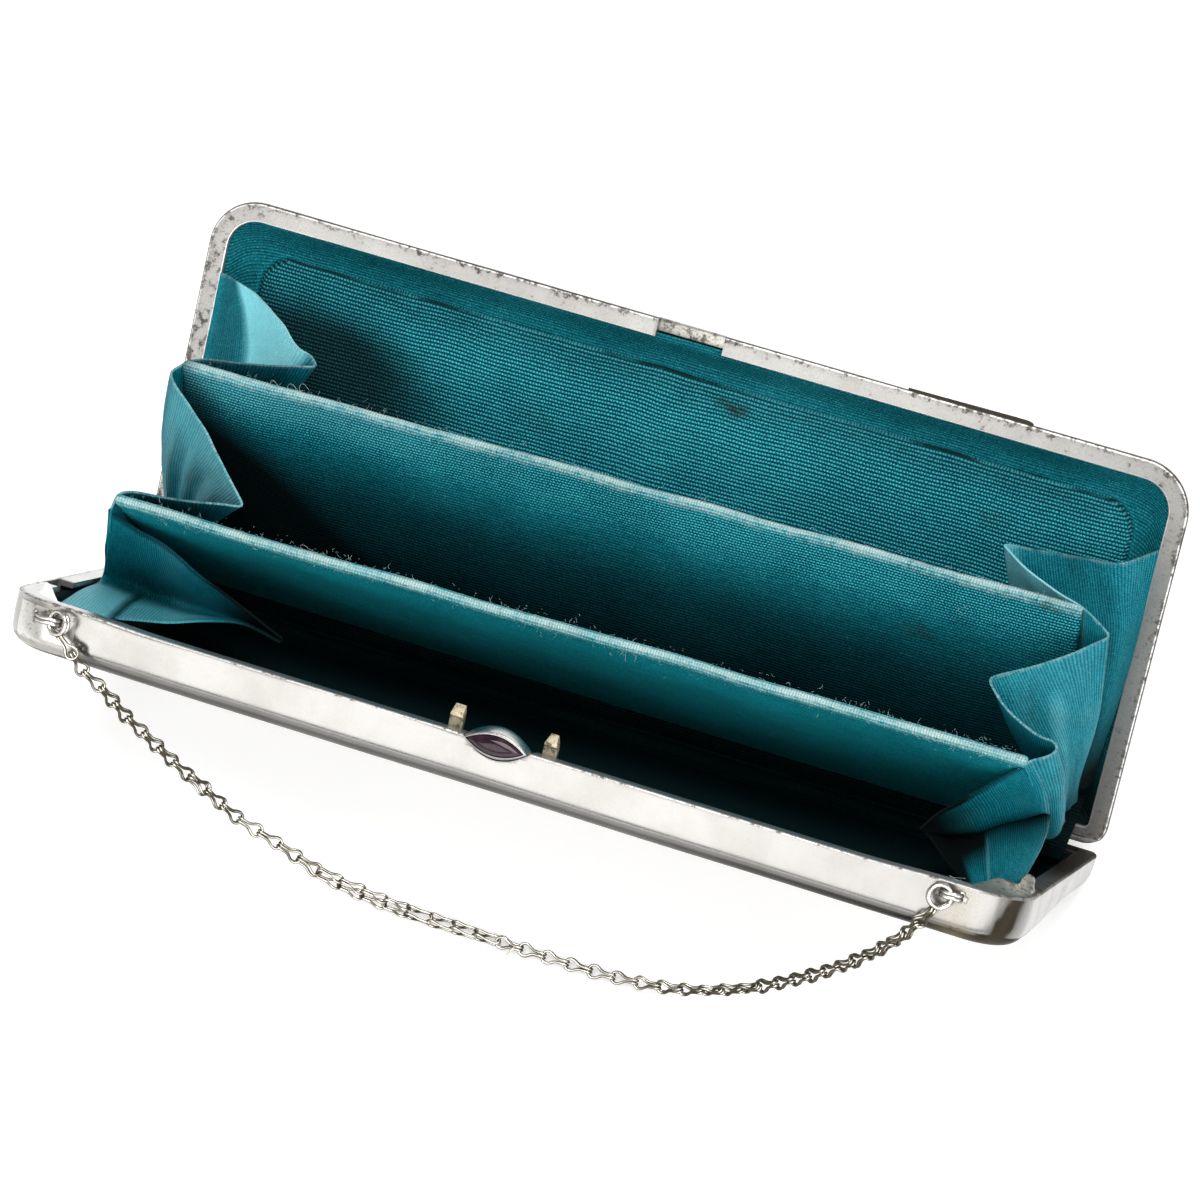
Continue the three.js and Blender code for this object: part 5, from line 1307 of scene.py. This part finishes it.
# the cut end of one wire
stub_at = np.array([np.interp(total * 0.515, dist, route[:, c]) for c in range(3)])
v, f = tube(stub_at + np.array([[0, 0, 0.3], [-0.25, -0.7, 0.2], [-0.45, -1.3, 0.0], [-0.9, -1.8, -0.2]]), [0.2, 0.2, 0.19, 0.15], 7)
chain.add(v, f, finish=(0.6, 0.2, 0.2, 1.0))
chain = chain.object("chain_links", CHAIN_SILVER, 60)
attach(chain, "root"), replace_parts(chain, "chain"), chain

# ---- lint on the worn edges ---------------------------------------------------
lint = Build()


def fibre(start, direction, length, curl, radius=0.022):
    n = 6
    t = np.linspace(0, 1, n)[:, None]
    side = rng.normal(size=3)
    side -= direction * np.dot(side, direction)
    side /= np.linalg.norm(side)
    other = np.cross(direction, side)
    ang = curl * t * 2.2
    path = start + length * (direction * np.sin(ang + 1e-6) / max(curl * 2.2, 1e-6) + side * (1 - np.cos(ang)) / max(curl * 2.2, 1e-6)) + other * 0.1 * length * np.sin(t * 5)
    v, f = tube(path, radius * (1 - 0.5 * t[:, 0]), 3)
    lint.add(v, f)


for name, spec, count in (("panel_front", PANELS["panel_front"], 1100), ("panel_rear", PANELS["panel_rear"], 520)):
    for _ in range(count):
        t = rng.random()
        x = spec["x"][0] + 1 + t * (spec["x"][1] - spec["x"][0] - 2)
        deg = spec["deg"][0] + (spec["deg"][1] - spec["deg"][0]) * t
        off = rng.normal() * 0.9
        p = on_leaf(x, spec["reach"] - 0.05 - 0.25 * min(abs(off), 1), deg - off)
        up = on_leaf(x, 1, deg) - on_leaf(x, 0, deg)
        d = up + rng.normal(size=3) * 0.55
        fibre(p, d / np.linalg.norm(d), 0.3 + 1.0 * rng.random() ** 2.2, 0.2 + rng.random() * 1.2, 0.017)
LOOPS = [  # x, distance, degrees, size of a stray curled thread
    (-41, 52.3, 19.2, 2.0), (-54, 51.5, 47.2, 1.7), (-57, 51.8, 47.0, 1.3), (71, 59.6, 0.3, 1.8), (31, 50, 49.0, 1.6), (56, 45, 49.5, 1.3), (-52, 52.3, 47.3, 1.6),
]
for x, r, deg, size in LOOPS:
    c = on_leaf(x, r, deg)
    up = on_leaf(x, 1, deg) - on_leaf(x, 0, deg)
    a = np.linspace(0, 1.6 * math.pi, 22)
    grow = 0.55 + 0.35 * a / a[-1]
    path = c + size * (np.stack([np.cos(a) * grow + 0.5 * a / a[-1], 0 * a, 0 * a], 1) + (np.sin(a) * grow + 0.75)[:, None] * up * 0.9)
    path += np.array([0, -1, 0.2]) * (0.25 * np.sin(2 * a))[:, None]
    v, f = tube(path, 0.02, 5)
    lint.add(v, f)
lint = lint.object("lint", LINT, 80)
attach(lint, "root"), lint

# ---- floor, light, camera -----------------------------------------------------
floor_mesh = bpy.data.meshes.new("floor")
floor_mesh.from_pydata([(-3, -3, 0), (3, -3, 0), (3, 3, 0), (-3, 3, 0)], [], [(0, 1, 2, 3)])
floor = bpy.data.objects.new("floor", floor_mesh)
bpy.context.scene.collection.objects.link(floor)
fl = Nodes("pale_floor")
fl.link(fl.mix(fl.noise(fl.object_coords(), 3, 2, 0.5), (0.86, 0.86, 0.86), (0.88, 0.88, 0.88)), fl.shader.inputs["Base Color"])
fl.shader.inputs["Roughness"].default_value = 0.9
fl.shader.inputs["Specular IOR Level"].default_value = 0.1
fl.shader.inputs["Emission Color"].default_value = (1, 1, 1, 1)
fl.shader.inputs["Emission Strength"].default_value = 0.36
floor_mesh.materials.append(fl.material)

scene = bpy.context.scene
world = bpy.data.worlds.new("studio")
scene.world = world
world.use_nodes = True
background = world.node_tree.nodes["Background"]
background.inputs[0].default_value = (1.0, 1.0, 1.0, 1)
background.inputs[1].default_value = 0.2


def area(name, at, aim, size, power, colour=(1, 1, 1)):
    data = bpy.data.lights.new(name, "AREA")
    data.shape, data.size, data.size_y = "RECTANGLE", size[0], size[1]
    data.energy, data.color = power, colour
    ob = bpy.data.objects.new(name, data)
    ob.location = at
    ob.rotation_euler = (Vector(aim) - Vector(at)).to_track_quat("-Z", "Y").to_euler()
    scene.collection.objects.link(ob)
    return ob


area("key", (0.18, -0.82, 0.58), (0, 0, 0.03), (1.7, 0.8), 10.2, (1.0, 0.995, 0.985))
area("top", (0.05, -0.05, 1.25), (0, 0, 0.03), (0.9, 0.6), 11.5)
area("left", (-1.0, -0.5, 0.4), (0, 0, 0.03), (0.9, 0.9), 1.6)
area("right", (1.0, -0.25, 0.5), (0, 0, 0.03), (0.6, 0.6), 2.6)
area("rear", (0.15, 1.05, 0.24), (0, 0, 0.03), (1.4, 0.35), 3.0)

scene.view_settings.view_transform = "Standard"
scene.view_settings.look = "None"

# The camera stands in front, a little to the right, looking down into the purse.
AZ, EL, ROLL = math.radians(23.57), math.radians(54.94), math.radians(-2.85)
back = Vector((math.sin(AZ) * math.cos(EL), -math.cos(AZ) * math.cos(EL), math.sin(EL)))
right = Vector((0, 0, 1)).cross(back).normalized()
up = back.cross(right)
cam_right = math.cos(ROLL) * right + math.sin(ROLL) * up
cam_up = -math.sin(ROLL) * right + math.cos(ROLL) * up
camera_data = bpy.data.cameras.new("camera")
camera_data.sensor_width = 36
camera_data.lens = 172.938
camera_data.clip_end = 20
camera = bpy.data.objects.new("camera", camera_data)
scene.collection.objects.link(camera)
at = Vector((206.022, HINGE_Y - 475.055, HINGE_Z + 766.655)) * MM
turn = Matrix((cam_right, cam_up, back)).transposed().to_4x4()
camera.matrix_world = Matrix.Translation(at) @ turn
scene.camera = camera

bpy.context.view_layer.update()
